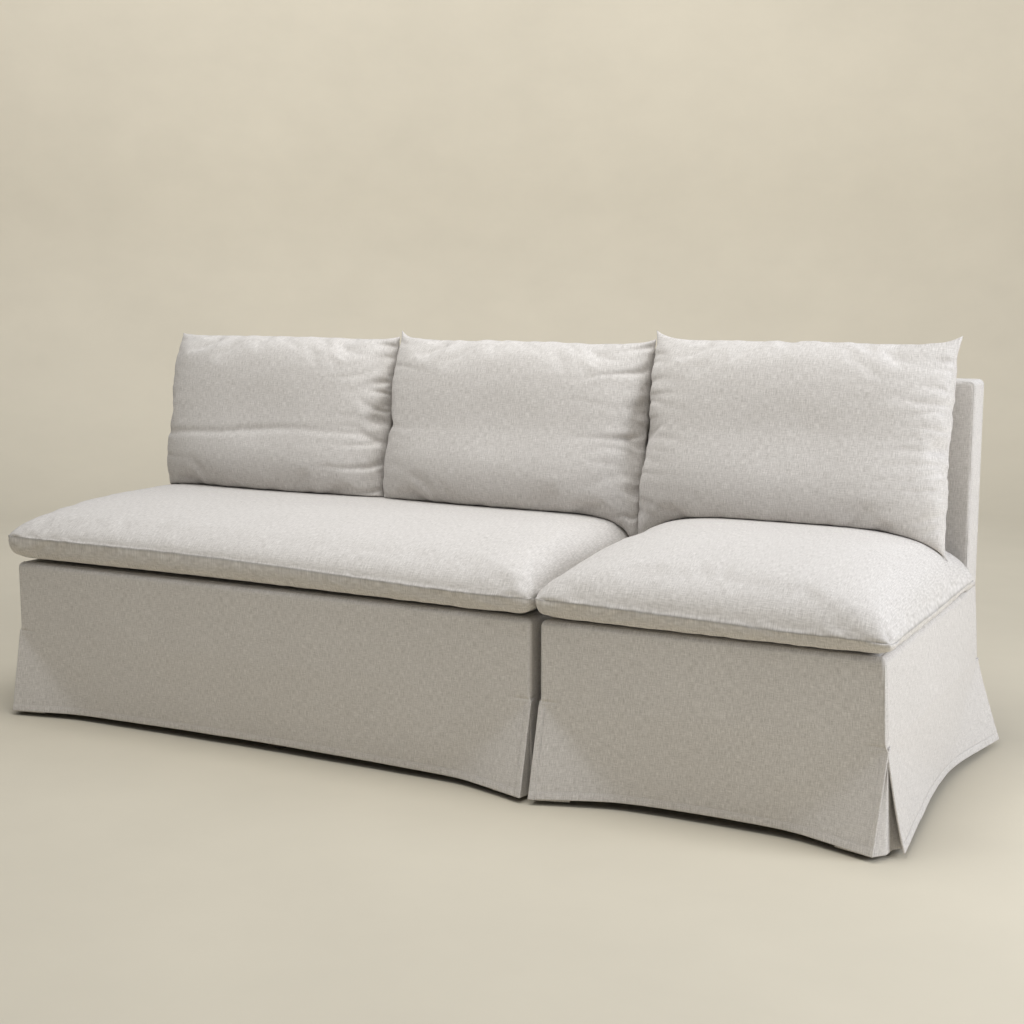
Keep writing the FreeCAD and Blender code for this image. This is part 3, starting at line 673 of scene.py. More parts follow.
def surfaceInset(panel, u, rise, height):
    # the turned-up hem is double and stitched down, and a short tuck starts at the top of each split
    fold = cover["hemFold"]
    depth, width = cover["hemGroove"]
    groove = depth * bell(rise - fold, width)
    below, above = cover["hemStep"]
    double = cover["hemDouble"] * (1 - smoothStep(rise, fold - below, fold + above))
    near = min(u, panel.length - u)
    depth, width = cover["splitTuck"]
    tuck = depth * bell(height - cover["split"], width)
    tuck *= smoothStep(near, *cover["tuckStart"]) * (1 - smoothStep(near, *cover["tuckStop"]))
    return groove - double + tuck


def panelPoint(panel, u, height, inset):
    # u runs from one upright corner to the other; past either end the cloth turns back
    corner = cover["corner"]
    below, above = cover["splitSeam"]
    closed = smoothStep(height, cover["split"] - below, cover["split"] + above)
    end = int(u >= panel.length / 2)
    near = panel.length - u if end else u
    offset = hangingOffset(panel, u, height) - inset
    place, depth = max(near, 0.0), offset
    if near < 3 * corner and closed > 0:
        turned = max(corner + offset, 0.0)
        extra = max(-corner - offset, 0.0)
        roundPlace, roundDepth = max(near, corner + extra), offset
        if near < corner:
            angle = math.radians(45) * (1 - place / corner)
            roundPlace = corner + extra - turned * math.sin(angle)
            roundDepth = turned * math.cos(angle) - corner - extra
        place += (roundPlace - place) * closed
        depth += (roundDepth - depth) * closed
    if near < 0:
        radius = cover["foldRadius"]
        bend = min(-near / radius, math.pi)
        run = max(-near - math.pi * radius, 0.0)
        seamed = -near * cover["seamSlant"]
        place += (run - radius * math.sin(bend)) * (1 - closed) + seamed * closed
        depth -= radius * (1 - math.cos(bend)) * (1 - closed) + seamed * closed
    place -= panel.splay[end] * dropAt(height) * max(0.0, 1 - max(near, 0.0) / flares["splayRun"]) ** 2
    place -= panel.wider[end] * leanAt(height) * (1 - smoothStep(near, 0.0, flares["leanRun"]))
    position = panel.length - place if end else place
    point = panel.start + panel.along * position + panel.out * depth
    return Vector((point.x, point.y, height))


def turnedBack():
    # cloth folded back at each end of a panel
    return math.pi * cover["foldRadius"] + cover["foldReach"]


def panelColumns(panel):
    ends, steps = clothGrid["panelEnds"], clothGrid["turnSteps"]
    arc = math.pi * cover["foldRadius"]
    turned = [arc * k / steps for k in range(1, steps + 1)] + [arc + clothGrid["turnLine"], turnedBack()]
    columns = [-t for t in reversed(turned)] + spread(0, panel.length, cover["grid"], ends, ends)
    return columns + [panel.length + t for t in turned]


def panelRows(top):
    hemRows = list(clothGrid["hem"])
    middle = cover["split"] - cover["hem"]
    fine = [middle + clothGrid["split"] * k for k in range(-4, 5)]
    return hemRows + spread(hemRows[-1], top, cover["grid"], extra=fine)[1:]


def uprightPanel(seat, part, panel, rollFrom, rollTo):
    # front and side panels: hem, skirt, upright and the roll onto the deck
    roll = cover["roll"]
    straight = seat.baseTop - roll - cover["hem"]
    rolled, steps = roll * math.pi / 2, clothGrid["rollSteps"]
    rows = panelRows(straight) + [straight + rolled * k / steps for k in range(1, steps + 1)]

    def place(u, row):
        if row <= straight:
            height = hemmedHeight(panel, u, row)
            return panelPoint(panel, u, height, surfaceInset(panel, u, row, height))
        angle = (row - straight) / roll
        blend = cover["rollBlend"]
        share = smoothStep(u, rollFrom - blend, rollFrom) * (1 - smoothStep(u, rollTo, rollTo + blend))
        climb = share * math.sin(angle) + (1 - share) * angle / (math.pi / 2)
        inset = share * roll * (1 - math.cos(angle))
        return panelPoint(panel, u, seat.baseTop - roll + roll * climb, inset)

    makeSheet(seat, part, panelColumns(panel), rows, place)


def panelsOf(seat):
    width = seat.right - seat.left
    depth = seat.rear - seat.front
    face, inner = flares["face"], flares["inner"]
    front = Panel((seat.left, seat.front, 0), (1, 0, 0), (0, -1, 0), width, face, seat.seed)
    right = Panel((seat.right, seat.front, 0), (0, 1, 0), (1, 0, 0), depth, inner, seat.seed + 2)
    back = Panel((seat.right, seat.rear, 0), (-1, 0, 0), (0, 1, 0), width, face, seat.seed + 4)
    left = Panel((seat.left, seat.rear, 0), (0, -1, 0), (-1, 0, 0), depth, inner, seat.seed + 6)
    front.draw = back.draw = cover["hemDraw"]
    if seat.rightOuter:
        right.flare = [flares["rightFront"], flares["outerRear"]]
        right.stand, right.splay[1] = flares["rightStand"], flares["outerSplay"]
        right.lean = front.wider[1] = back.wider[0] = flares["rightLean"]
    if seat.leftOuter:
        left.flare = [flares["outerRear"], flares["leftFront"]]
        left.stand, left.splay[0] = flares["leftStand"], flares["outerSplay"]
        front.flare[0] = flares["leftFace"]
    seat.panels = {"front": front, "right": right, "back": back, "left": left}


def roundedCorner(x, z, left, right, top, radius):
    # moves a point of a square top corner onto the rounded one
    centreX = min(max(x, left + radius), right - radius)
    dx, dz = x - centreX, z - (top - radius)
    if dx == 0 or dz <= 0:
        return x, z
    share = max(abs(dx), dz) / math.hypot(dx, dz)
    return centreX + dx * share, top - radius + dz * share


def backEdge():
    # radius of the back's edges, and how far in the middle of that round lies
    return cover["backEdge"], cover["backEdge"] * (1 - math.sin(math.radians(45)))


def edgeDip(edge, gap):
    # how far a rounded edge falls back at a distance from the corner
    return edge - math.sqrt(max(edge * edge - max(edge - gap, 0) ** 2, 0))


def backPlate(seat, panel, u, z):
    # a point of the inside or outside back above the deck, with its three free edges rounded
    edge, least = backEdge()
    gap = max(min(u, panel.length - u, seat.backTop - z), least)
    dip = edgeDip(edge, gap)
    uu = min(max(u, least), panel.length - least)
    zz = min(z, seat.backTop - least)
    uu, zz = roundedCorner(uu, zz, least, panel.length - least, seat.backTop - least, cover["backCorner"])
    slack = cover["slack"] * ripple(uu, zz, panel.seed + 20, cover["plateWave"])
    slack *= min(gap / cover["plateHold"], 1)
    point = panel.start + panel.along * uu + panel.out * (slack - dip)
    return Vector((point.x, point.y, zz))


def outsideBack(seat):
    panel = seat.panels["back"]
    straight = seat.baseTop - cover["hem"]
    top = seat.backTop - cover["hem"]
    rows = panelRows(straight) + spread(straight, top, cover["grid"], (), clothGrid["backTop"])[1:]

    def place(u, row):
        height = hemmedHeight(panel, u, row)
        low = panelPoint(panel, u, height, surfaceInset(panel, u, row, height))
        blendFrom = seat.baseTop - cover["backBlend"]
        if height < blendFrom:
            return low
        high = backPlate(seat, panel, u, height)
        return low.lerp(high, smoothStep(height, blendFrom, seat.baseTop))

    makeSheet(seat, "outside_back", panelColumns(panel), rows, place)


def insideBack(seat):
    width = seat.right - seat.left
    still = (0.0, 1.0, 1.0)
    start = (seat.left, seat.insideBack, 0)
    panel = Panel(start, (1, 0, 0), (0, -1, 0), width, still, seat.seed + 1)
    ends = clothGrid["plateEnds"]
    columns = spread(0, width, cover["grid"], ends, ends)
    rows = spread(seat.baseTop, seat.backTop, cover["grid"], (), ends)

    def place(u, row):
        return backPlate(seat, panel, u, row)

    makeSheet(seat, "inside_back", columns, rows, place)


boxing = {
    "rows": (0.0045, 0.0130),   # two rows of stitching from each edge
    "draw": (0.0007, 0.0016),   # how far and how widely they draw the cloth down
    "slack": 0.6,
    "wave": 0.12,
}


def boxingRise(seat):
    # from the deck up to where the top corners begin
    return seat.backTop - cover["backCorner"] - seat.baseTop


def boxingLength(seat):
    radius = cover["backCorner"]
    return 2 * boxingRise(seat) + math.pi * radius + seat.right - seat.left - 2 * radius


def boxingPath(seat, distance):
    # point and outward direction on the edge of the back, from the left foot over the top to the right foot
    radius, rise = cover["backCorner"], boxingRise(seat)
    quarter = radius * math.pi / 2
    across = seat.right - seat.left - 2 * radius
    if distance < rise:
        return Vector((seat.left, 0, seat.baseTop + distance)), Vector((-1, 0, 0))
    distance -= rise
    if distance < quarter:
        angle = distance / radius
        out = Vector((-math.cos(angle), 0, math.sin(angle)))
        return Vector((seat.left + radius, 0, seat.backTop - radius)) + out * radius, out
    distance -= quarter
    if distance < across:
        return Vector((seat.left + radius + distance, 0, seat.backTop)), Vector((0, 0, 1))
    distance -= across
    if distance < quarter:
        angle = distance / radius
        out = Vector((math.sin(angle), 0, math.cos(angle)))
        return Vector((seat.right - radius, 0, seat.backTop - radius)) + out * radius, out
    distance -= quarter
    return Vector((seat.right, 0, seat.backTop - radius - distance)), Vector((1, 0, 0))


def boxingPoint(seat, distance, across, proud=0.0):
    edge, least = backEdge()
    thick = seat.rear - seat.insideBack
    point, out = boxingPath(seat, distance)
    v = min(max(across, least), thick - least)
    near = min(v, thick - v)
    dip = edgeDip(edge, near)
    slack = boxing["slack"] * cover["slack"] * ripple(distance, across, seat.seed + 5, boxing["wave"])
    depth, width = boxing["draw"]
    for row in boxing["rows"]:
        dip += depth * bell(near - row, width)
    place = point + out * (slack * near / thick - dip + proud)
    return Vector((place.x, seat.insideBack + v, place.z))


def backBoxing(seat):
    length = boxingLength(seat)
    thick = seat.rear - seat.insideBack
    quarter = cover["backCorner"] * math.pi / 2
    edges, steps = clothGrid["boxing"], clothGrid["boxingSteps"]
    bends = [boxingRise(seat) + quarter * k / steps for k in range(steps + 1)]
    bends += [length - b for b in bends]
    columns = spread(0, length, cover["grid"], extra=bends)
    rows = spread(0, thick, cover["grid"], edges, edges)

    def place(u, row):
        return boxingPoint(seat, u, row)

    def crosswise(u, row):
        return (row, u)

    makeSheet(seat, "back_boxing", columns, rows, place, crosswise)


deckCloth = {"dip": 0.0006, "wave": 0.0008, "waveSize": 0.2, "rim": 0.04, "cells": 0.02}


def deck(seat):
    edge = cover["roll"]
    x0, x1 = seat.left + edge, seat.right - edge
    y0, y1 = seat.front + edge, seat.insideBack

    def place(u, v):
        dip = deckCloth["dip"] + deckCloth["wave"] * abs(ripple(u, v, 5.0, deckCloth["waveSize"]))
        rim = min(u, x1 - x0 - u, v) / deckCloth["rim"]
        return Vector((x0 + u, y0 + v, seat.baseTop - dip * min(rim, 1)))

    columns = spread(0, x1 - x0, deckCloth["cells"])
    rows = spread(0, y1 - y0, deckCloth["cells"])
    makeSheet(seat, "deck", columns, rows, place)


def pleatUnderlay(seat, face, side, corner, tag):
    # a folded strip at a corner split: behind the face panel, out into the opening, back behind the side
    node = seat.name + "_cover_pleat_underlays"
    faceEnd, sideEnd = [int((corner - p.start).length > p.length / 2) for p in (face, side)]
    faceAway = -face.along if faceEnd else face.along
    sideAway = -side.along if sideEnd else side.along
    faceFlare, sideFlare = face.flare[faceEnd], side.flare[sideEnd]
    sideKick, splay = sideFlare[0] + side.stand, side.splay[sideEnd]

    def behind(panel, flare, away, distance, drop):
        kick = panel.stand * drop ** flares["standCurve"] + drop * flareAt(flare, distance / drop)
        return corner + away * distance + panel.out * (kick - pleat["tuck"])

    def fold(drop, shift):
        # the strip's line at one height; shift follows a side that leans out
        drop = max(drop, pleat["least"])
        line = [behind(face, faceFlare, faceAway, d, drop) for d in pleat["faceStops"]]
        kick = face.out * faceFlare[0] + side.out * sideKick
        line.append(corner + kick * pleat["kick"] * drop)
        beside = sideAway * (pleat["slot"] - splay * drop)
        line.append(corner + side.out * (sideKick * pleat["sideKick"] * drop) + beside)
        for d in pleat["sideStops"]:
            carried = sideAway * splay * drop * max(0, 1 - d / flares["splayRun"]) ** 2
            line.append(behind(side, sideFlare, sideAway, d, drop) - carried)
        return [point + shift for point in line]

    shares = pleat["shares"]
    width = 2 * pleat["reach"] + pleat["fold"]

    def place(u, row):
        height = cover["hem"] - pleat["drop"] + row
        line = fold(dropAt(height), side.out * side.lean * leanAt(height))
        total, point = 0.0, Vector((0, 0, 0))
        for step in pleat["soften"]:
            t = min(max(u / width + step, 0.0), 1.0)
            k = max(i for i in range(len(shares) - 1) if shares[i] <= t or i == 0)
            part = (t - shares[k]) / (shares[k + 1] - shares[k])
            weight = 1.0 if step == 0 else pleat["softenWeight"]
            point += line[k].lerp(line[k + 1], part) * weight
            total += weight
        point /= total
        return Vector((point.x, point.y, height))

    tall = cover["split"] - cover["hem"] + pleat["drop"]
    columns = spread(0, width, pleat["cells"][0])
    rows = spread(0, tall, pleat["cells"][1], (0.002,))
    name = seat.name + "_pleat_underlay_" + tag
    piece = addObject(name, gridMesh(name, columns, rows, place, alongCloth))
    facing = piece.data.polygons[len(piece.data.polygons) // 2].normal
    if facing.dot(face.out + side.out) < 0:
        piece.data.flip_normals()
    finishSheet(piece, seat.body, node)


# stitching

stitch = {
    "pitch": 0.0042,
    "length": 0.0030,
    "width": 0.0009,
    "proud": 0.0003,
    "boxingProud": 0.0005,
    "seamRow": 0.0065,      # from the corner seam
    "hemEnds": 0.003,       # a hem row starts this far from the corner
    "aboveSplit": 0.016,
    "guide": 0.012,         # spacing of the points that guide a row
    "boxingGuide": 0.004,
    "bead": {"Segments": 6, "Rings": 4, "Radius": 0.5},
}


def makeStitchTree():
    tree, given, made = newGroup(
        "runningStitch",
        [("Geometry", "NodeSocketGeometry"), ("Pitch", "NodeSocketFloat"), ("Length", "NodeSocketFloat"),
         ("Width", "NodeSocketFloat"), ("Thread", "NodeSocketMaterial")],
        [("Geometry", "NodeSocketGeometry")],
        "GeometryNodeTree",
    )
    given = given.outputs
    curve = addNode(tree, "GeometryNodeMeshToCurve", {0: given["Geometry"]}).outputs[0]
    values = {"Curve": curve, "Length": given["Pitch"]}
    spaced = addNode(tree, "GeometryNodeResampleCurve", values, mode="LENGTH").outputs[0]
    bead = addNode(tree, "GeometryNodeMeshUVSphere", stitch["bead"]).outputs["Mesh"]
    values = {"X": given["Length"], "Y": given["Width"], "Z": given["Width"]}
    size = addNode(tree, "ShaderNodeCombineXYZ", values).outputs[0]
    shaped = addNode(tree, "GeometryNodeTransform", {"Geometry": bead, "Scale": size}).outputs[0]
    tangent = addNode(tree, "GeometryNodeInputTangent").outputs[0]
    turn = addNode(tree, "FunctionNodeAlignRotationToVector", {"Vector": tangent}, axis="X").outputs[0]
    values = {"Points": spaced, "Instance": shaped, "Rotation": turn}
    placed = addNode(tree, "GeometryNodeInstanceOnPoints", values).outputs[0]
    real = addNode(tree, "GeometryNodeRealizeInstances", {0: placed}).outputs[0]
    values = {"Geometry": real, "Material": given["Thread"]}
    feed(tree, made, {0: addNode(tree, "GeometryNodeSetMaterial", values).outputs[0]})
    return tree


stitchTree = makeStitchTree()


def stitchAlong(name, lines):
    # turns lines of points into rows of stitches, as one plain mesh
    points, edges = [], []
    for line in lines:
        first = len(points)
        points += line
        edges += [(first + k, first + k + 1) for k in range(len(line) - 1)]
    guide = bpy.data.meshes.new(name + "_guide")
    guide.from_pydata(points, edges, [])
    piece = addObject(name, guide)
    sewing = piece.modifiers.new("sewing", "NODES")
    sewing.node_group = stitchTree
    values = {"Pitch": stitch["pitch"], "Length": stitch["length"], "Width": stitch["width"]}
    values["Thread"] = threadMaterial
    for socket in stitchTree.interface.items_tree:
        if socket.in_out == "INPUT" and socket.name in values:
            sewing[socket.identifier] = values[socket.name]
    depsgraph = bpy.context.evaluated_depsgraph_get()
    mesh = bpy.data.meshes.new_from_object(piece.evaluated_get(depsgraph))
    piece.modifiers.clear()
    piece.data = mesh
    mesh.polygons.foreach_set("use_smooth", [True] * len(mesh.polygons))
    return piece


def stitchCover(seat):
    lines = []
    proud, row = stitch["proud"], cover["hemFold"]
    for panel in seat.panels.values():
        us = spread(stitch["hemEnds"], panel.length - stitch["hemEnds"], stitch["guide"])
        lines.append([panelPoint(panel, u, hemmedHeight(panel, u, row), -proud) for u in us])
    for key in ("left", "right"):
        panel = seat.panels[key]
        heights = spread(cover["split"] + stitch["aboveSplit"], seat.baseTop - cover["roll"], stitch["guide"])
        for u in (stitch["seamRow"], panel.length - stitch["seamRow"]):
            lines.append([panelPoint(panel, u, h, -proud) for h in heights])
    thick = seat.rear - seat.insideBack
    along = spread(0.0, boxingLength(seat), stitch["boxingGuide"])
    for row in boxing["rows"]:
        for across in (row, thick - row):
            lines.append([boxingPoint(seat, d, across, stitch["boxingProud"]) for d in along])
    piece = stitchAlong(seat.name + "_cover_stitching", lines)
    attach(piece, seat.body)


def makeCover(seat):
    panelsOf(seat)
    everywhere = 10.0   # longer than any panel
    rolls = {           # where each panel rolls onto the deck
        "front": (-everywhere, everywhere),
        "right_side": (-everywhere, seat.insideBack - seat.front),
        "left_side": (seat.rear - seat.insideBack, everywhere),
    }
    for part, (rollFrom, rollTo) in rolls.items():
        uprightPanel(seat, part, seat.panels[part.split("_")[0]], rollFrom, rollTo)
    outsideBack(seat)
    insideBack(seat)
    backBoxing(seat)
    deck(seat)
    edges = {"front": seat.front, "back": seat.rear, "left": seat.left, "right": seat.right}
    for tag in ("front_right", "front_left", "back_right", "back_left"):
        face, side = tag.split("_")
        corner = Vector((edges[side], edges[face], 0))
        pleatUnderlay(seat, seat.panels[face], seat.panels[side], corner, tag)
    stitchCover(seat)
    print(seat.name, "cover ready")


for seat in seats:
    makeCover(seat)


# cushions

bolt = {"under": 3.0, "backCushions": 5.0}   # where the panels are cut from the cloth, metres


def sewnPanels(name, us, vs, shape, flat=None):
    # two panels on one grid that share their rim; u and v run from -1 to 1, flat gives places on the cloth
    points, faces, index, loops = [], [], {}, []
    lastU, lastV = len(us) - 1, len(vs) - 1

    def vertex(i, j, side):
        onRim = i in (0, lastU) or j in (0, lastV)
        key = (i, j, 0 if onRim else side)
        if key not in index:
            index[key] = len(points)
            points.append(shape(us[i], vs[j], side))
        return index[key]

    for side in (1, -1):
        for i in range(lastU):
            for j in range(lastV):
                ring = [(i, j), (i + 1, j), (i + 1, j + 1), (i, j + 1)]
                ring = ring if side == 1 else ring[::-1]
                faces.append([vertex(a, b, side) for a, b in ring])
                loops += [(us[a], vs[b], side) for a, b in ring]
    mesh = bpy.data.meshes.new(name)
    mesh.from_pydata(points, [], faces)
    layer = mesh.uv_layers.new(name="weave")
    if flat:
        for number, loop in enumerate(loops):
            layer.data[number].uv = flat(*loop)
    return addObject(name, mesh), index


filling = {"quality": 6, "mass": 0.15, "airDamping": 4}


def simulate(piece, settings, pinned, gathered):
    # inflates the sewn panels; pinned and gathered map vertices to weights
    rest = np.array([v.co for v in piece.data.vertices])
    cloth = piece.modifiers.new("filling", "CLOTH")
    feel = cloth.settings
    feel.quality = filling["quality"]
    feel.mass = filling["mass"]
    feel.tension_stiffness = settings["tension"]
    feel.compression_stiffness = settings["tension"]
    feel.shear_stiffness = settings["tension"] / 3
    feel.bending_stiffness = settings["bending"]
    feel.air_damping = filling["airDamping"]
    feel.use_pressure = True
    feel.uniform_pressure_force = settings["pressure"]
    feel.effector_weights.gravity = 0
    cloth.collision_settings.use_collision = False
    for name, weights in (("pinned", pinned), ("gathered", gathered)):
        if weights:
            group = piece.vertex_groups.new(name=name)
            for vertex, weight in weights.items():
                group.add([vertex], weight, "REPLACE")
    feel.vertex_group_mass = "pinned" if pinned else ""
    feel.vertex_group_shrink = "gathered"
    feel.shrink_min = -settings["ease"]
    feel.shrink_max = settings["gather"]
    for step in range(1, settings["frames"] + 1):
        scene.frame_set(step)
    filled = bpy.data.meshes.new_from_object(piece.evaluated_get(bpy.context.evaluated_depsgraph_get()))
    piece.modifiers.clear()
    piece.vertex_groups.clear()
    piece.data = filled
    scene.frame_set(1)
    moved = np.array([v.co for v in filled.vertices]) - rest
    far = np.linalg.norm(moved, axis=1)
    moved *= np.minimum(1, settings["cap"] / np.maximum(far, 1e-9))[:, None]
    return rest + moved


def softLimit(value, limit, soft):
    # value where it is well above limit, and limit where it is well below
    x, far = (value - limit) / soft, 30
    return limit + soft * np.where(x > far, x, np.log1p(np.exp(np.minimum(x, far))))


def clusteredSpan(half, cell):
    # -1 to 1, closer together at both ends
    steps = np.cumsum([0.0002, 0.0010, 0.0023, 0.0035, 0.006, 0.009, 0.011])
    inner = half - steps[-1]
    count = max(4, round(2 * inner / cell))
    places = [-half, half] + [s - half for s in steps] + [half - s for s in steps]
    places += [-inner + 2 * inner * k / count for k in range(1, count)]
    return [p / half for p in sorted(set(round(float(p), 6) for p in places))]


def quarterRound(distance, radius):
    # 0 at the edge, 1 from radius inwards, as a quarter ellipse
    return math.sqrt(1 - (1 - min(max(distance / radius, 0), 1)) ** 2)


def roundedRim(u, v, halfU, halfV, radius):
    return quarterRound((1 - abs(u)) * halfU, radius) * quarterRound((1 - abs(v)) * halfV, radius)


def dressCushion(piece, material, seam=(), crease=0.5, shade=0.0):
    mesh = piece.data
    mesh.materials.clear()
    mesh.materials.append(material)
    mesh.polygons.foreach_set("use_smooth", [True] * len(mesh.polygons))
    if seam:
        onSeam = set(seam)
        sharp = mesh.attributes.get("crease_edge") or mesh.attributes.new("crease_edge", "FLOAT", "EDGE")
        for edge in mesh.edges:
            if edge.vertices[0] in onSeam and edge.vertices[1] in onSeam:
                sharp.data[edge.index].value = crease
        # the seam's vertices carry painted shade, which darkens the cloth's colour there in place of the
        # seam's shadow
        paintedShadeLayer = mesh.attributes.get("paintedSeamShade") or mesh.attributes.new("paintedSeamShade", "FLOAT", "POINT")
        for vertex in onSeam:
            paintedShadeLayer.data[vertex].value = shade
    mesh.update()
    finer = piece.modifiers.new("finer", "SUBSURF")
    finer.levels = finer.render_levels = 1


def finishPadded(piece, body, node):
    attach(piece, body)
    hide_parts(node)


seatCushion = {
    "cells": 0.013,
    "seamTurn": (-0.5, 1.0),    # the seam goes from its left height to its right one between these
    "clearRun": 0.045,
    "edge": 0.40,           # share of the rise that is the rounded edge, in front
    "edgeRun": 0.046,
    "frontCurve": 2.3,      # how early the top falls towards the front and the back
    "rearCurve": 4.0,
    "endRun": 0.045,
    "tuck": 0.024,          # how far the border slants in below the seam
    "draw": 0.005,
    "corner": 0.031,
    "cornerOut": 0.006,     # the corners stick out
    "cornerRun": 0.05,
    "groove": 0.0032,       # the seam lies a little in
    "pucker": 0.0035,       # small gathers beside the seam: depth, where they start and end, size
    "puckerRuns": (0.006, 0.03),
    "puckerSize": 0.022,
    "rimHold": 0.35,        # how firmly the seam is held while the panels fill
    "pressure": 1.3,
    "tension": 40,
    "bending": 0.6,
    "ease": 0.004,
    "gather": 0.02,
    "frames": 14,
    "cap": 0.007,
    # seam and lower edge of the border above the deck, at the left and right end;
    # height of the crown; share and curve of the rounded ends
    "double": {"seam": (0.064, 0.041), "clear": (0.013, 0.007), "crown": 0.138,
               "endEdge": 0.62, "endCurve": 12.0, "seed": 61.0},
    "single": {"seam": (0.043, 0.028), "clear": (0.006, 0.004), "crown": 0.156,
               "endEdge": 0.48, "endCurve": 4.0, "seed": 73.0},
}
seatCore = {
    "wrap": 0.080,          # cover and wadding round the foam
    "cells": 0.03,
    "edge": 0.02,
    "lower": 0.02,          # its rim below mid height
    "under": 0.016,         # wadding over it and under it
    "above": 0.004,
}
rayHeight, down = 1.0, Vector((0, 0, -1))   # rays onto a seat start at this height


def makeSeatCushion(seat):
    name = seat.name + "_seat_cushion"
    low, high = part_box(name + "_cover")
    look, own = seatCushion, seatCushion[seat.name]
    halfX, halfY = (high.x - low.x) / 2, (high.y - low.y) / 2
    midX, midY = (high.x + low.x) / 2, (high.y + low.y) / 2
    foot = low.z
    us = clusteredSpan(halfX, look["cells"])
    vs = clusteredSpan(halfY, look["cells"])

    def rounded(distance, run, share, along, curve):
        # a rounded edge by the seam, then a low dome
        return share * quarterRound(distance, run) + (1 - share) * (1 - along ** curve)

    def shape(u, v, side):
        x = u * (halfX - look["draw"] * (1 - v * v))
        y = v * (halfY - look["draw"] * (1 - u * u))
        r = look["corner"]
        dx, dy = abs(x) - (halfX - r), abs(y) - (halfY - r)
        if dx > 0 and dy > 0:   # round the plan corners
            share = max(dx, dy) / math.hypot(dx, dy)
            x = math.copysign(halfX - r + dx * share, x)
            y = math.copysign(halfY - r + dy * share, y)
        du, dv = (1 - abs(u)) * halfX, (1 - abs(v)) * halfY
        near = min(du, dv)
        across = smoothStep(u, *look["seamTurn"])
        left, right = own["seam"]
        seam = foot + left + (right - left) * across
        if side > 0:
            ends = rounded(du, look["endRun"], own["endEdge"], abs(u), own["endCurve"])
            curve = look["frontCurve"] if v < 0 else look["rearCurve"]
            sides = rounded(dv, look["edgeRun"], look["edge"], abs(v), curve)
            z = seam + (foot + own["crown"] - seam) * ends * sides
        else:
            left, right = own["clear"]
            clear = left + (right - left) * across
            below = foot + clear * fading(max(near - look["tuck"], 0), look["clearRun"])
            z = seam - (seam - below) * quarterRound(near, look["tuck"])
        starts, stops = look["puckerRuns"]
        pucker = fading(near, stops) * (1 - fading(near, starts))
        z += look["pucker"] * pucker * ripple(x, y, own["seed"], look["puckerSize"])
        out = look["cornerOut"] * fading(math.hypot(du, dv), look["cornerRun"])
        return Vector((midX + x + math.copysign(out, x), midY + y + math.copysign(out, y), max(z, foot)))

    def flat(u, v, side):
        return (u * halfX, v * halfY + (0 if side > 0 else bolt["under"]))

    piece, index = sewnPanels(name, us, vs, shape, flat)
    rim = [vertex for (i, j, side), vertex in index.items() if side == 0]
    points = np.array([v.co for v in piece.data.vertices])
    pinned, gathered = dict.fromkeys(rim, look["rimHold"]), dict.fromkeys(rim, 1.0)
    for (i, j, side), vertex in index.items():
        du, dv = (1 - abs(us[i])) * halfX, (1 - abs(vs[j])) * halfY
        if side < 0 and min(du, dv) >= look["tuck"]:
            pinned[vertex] = 1.0
    points = simulate(piece, look, pinned, gathered)
    out = look["cornerOut"]
    least, most = low.x - out * seat.leftOuter, high.x + out * seat.rightOuter
    points[:, 0] = np.clip(points[:, 0], least, most)
    points[:, 1] = np.clip(points[:, 1], low.y - out, high.y)
    points[:, 2] = np.maximum(points[:, 2], foot)
    for (i, j, side), vertex in index.items():
        if side == 0:
            for axis, along in ((0, us[i]), (1, vs[j])):
                points[vertex, axis] -= look["groove"] * along * (abs(along) == 1)
    piece.data.vertices.foreach_set("co", points.astype(np.float32).ravel())
    # the seat cushion's seam is creased and gets its full painted shade
    dressCushion(piece, linenMaterial, rim, crease=1.0, shade=1.0)
    finishPadded(piece, name, name + "_cover")
    seatTop = BVHTree.FromObject(piece, bpy.context.evaluated_depsgraph_get())
    makeSeatCore(seat, seatTop, low, high)
    print(name, "ready")
    return seatTop


def makeSeatCore(seat, seatTop, low, high):
    # the foam block follows the top of the finished cover, a wrap of wadding below it
    name, look = seat.name + "_seat_cushion", seatCore
    halfX, halfY = (high.x - low.x) / 2 - look["wrap"], (high.y - low.y) / 2 - look["wrap"]
    midX, midY = (high.x + low.x) / 2, (high.y + low.y) / 2
    us, vs = clusteredSpan(halfX, look["cells"]), clusteredSpan(halfY, look["cells"])
    middle = (low.z + high.z) / 2 - look["lower"]

    def shape(u, v, side):
        x, y = midX + u * halfX, midY + v * halfY
        top = seatTop.ray_cast(Vector((x, y, rayHeight)), down)[0]
        limit = (top.z if top else high.z) - look["under"] if side > 0 else low.z + look["above"]
        return Vector((x, y, middle + (limit - middle) * roundedRim(u, v, halfX, halfY, look["edge"])))

    piece = sewnPanels(name + "_foam", us, vs, shape)[0]
    dressCushion(piece, waddingMaterial)
    finishPadded(piece, name, name + "_core")


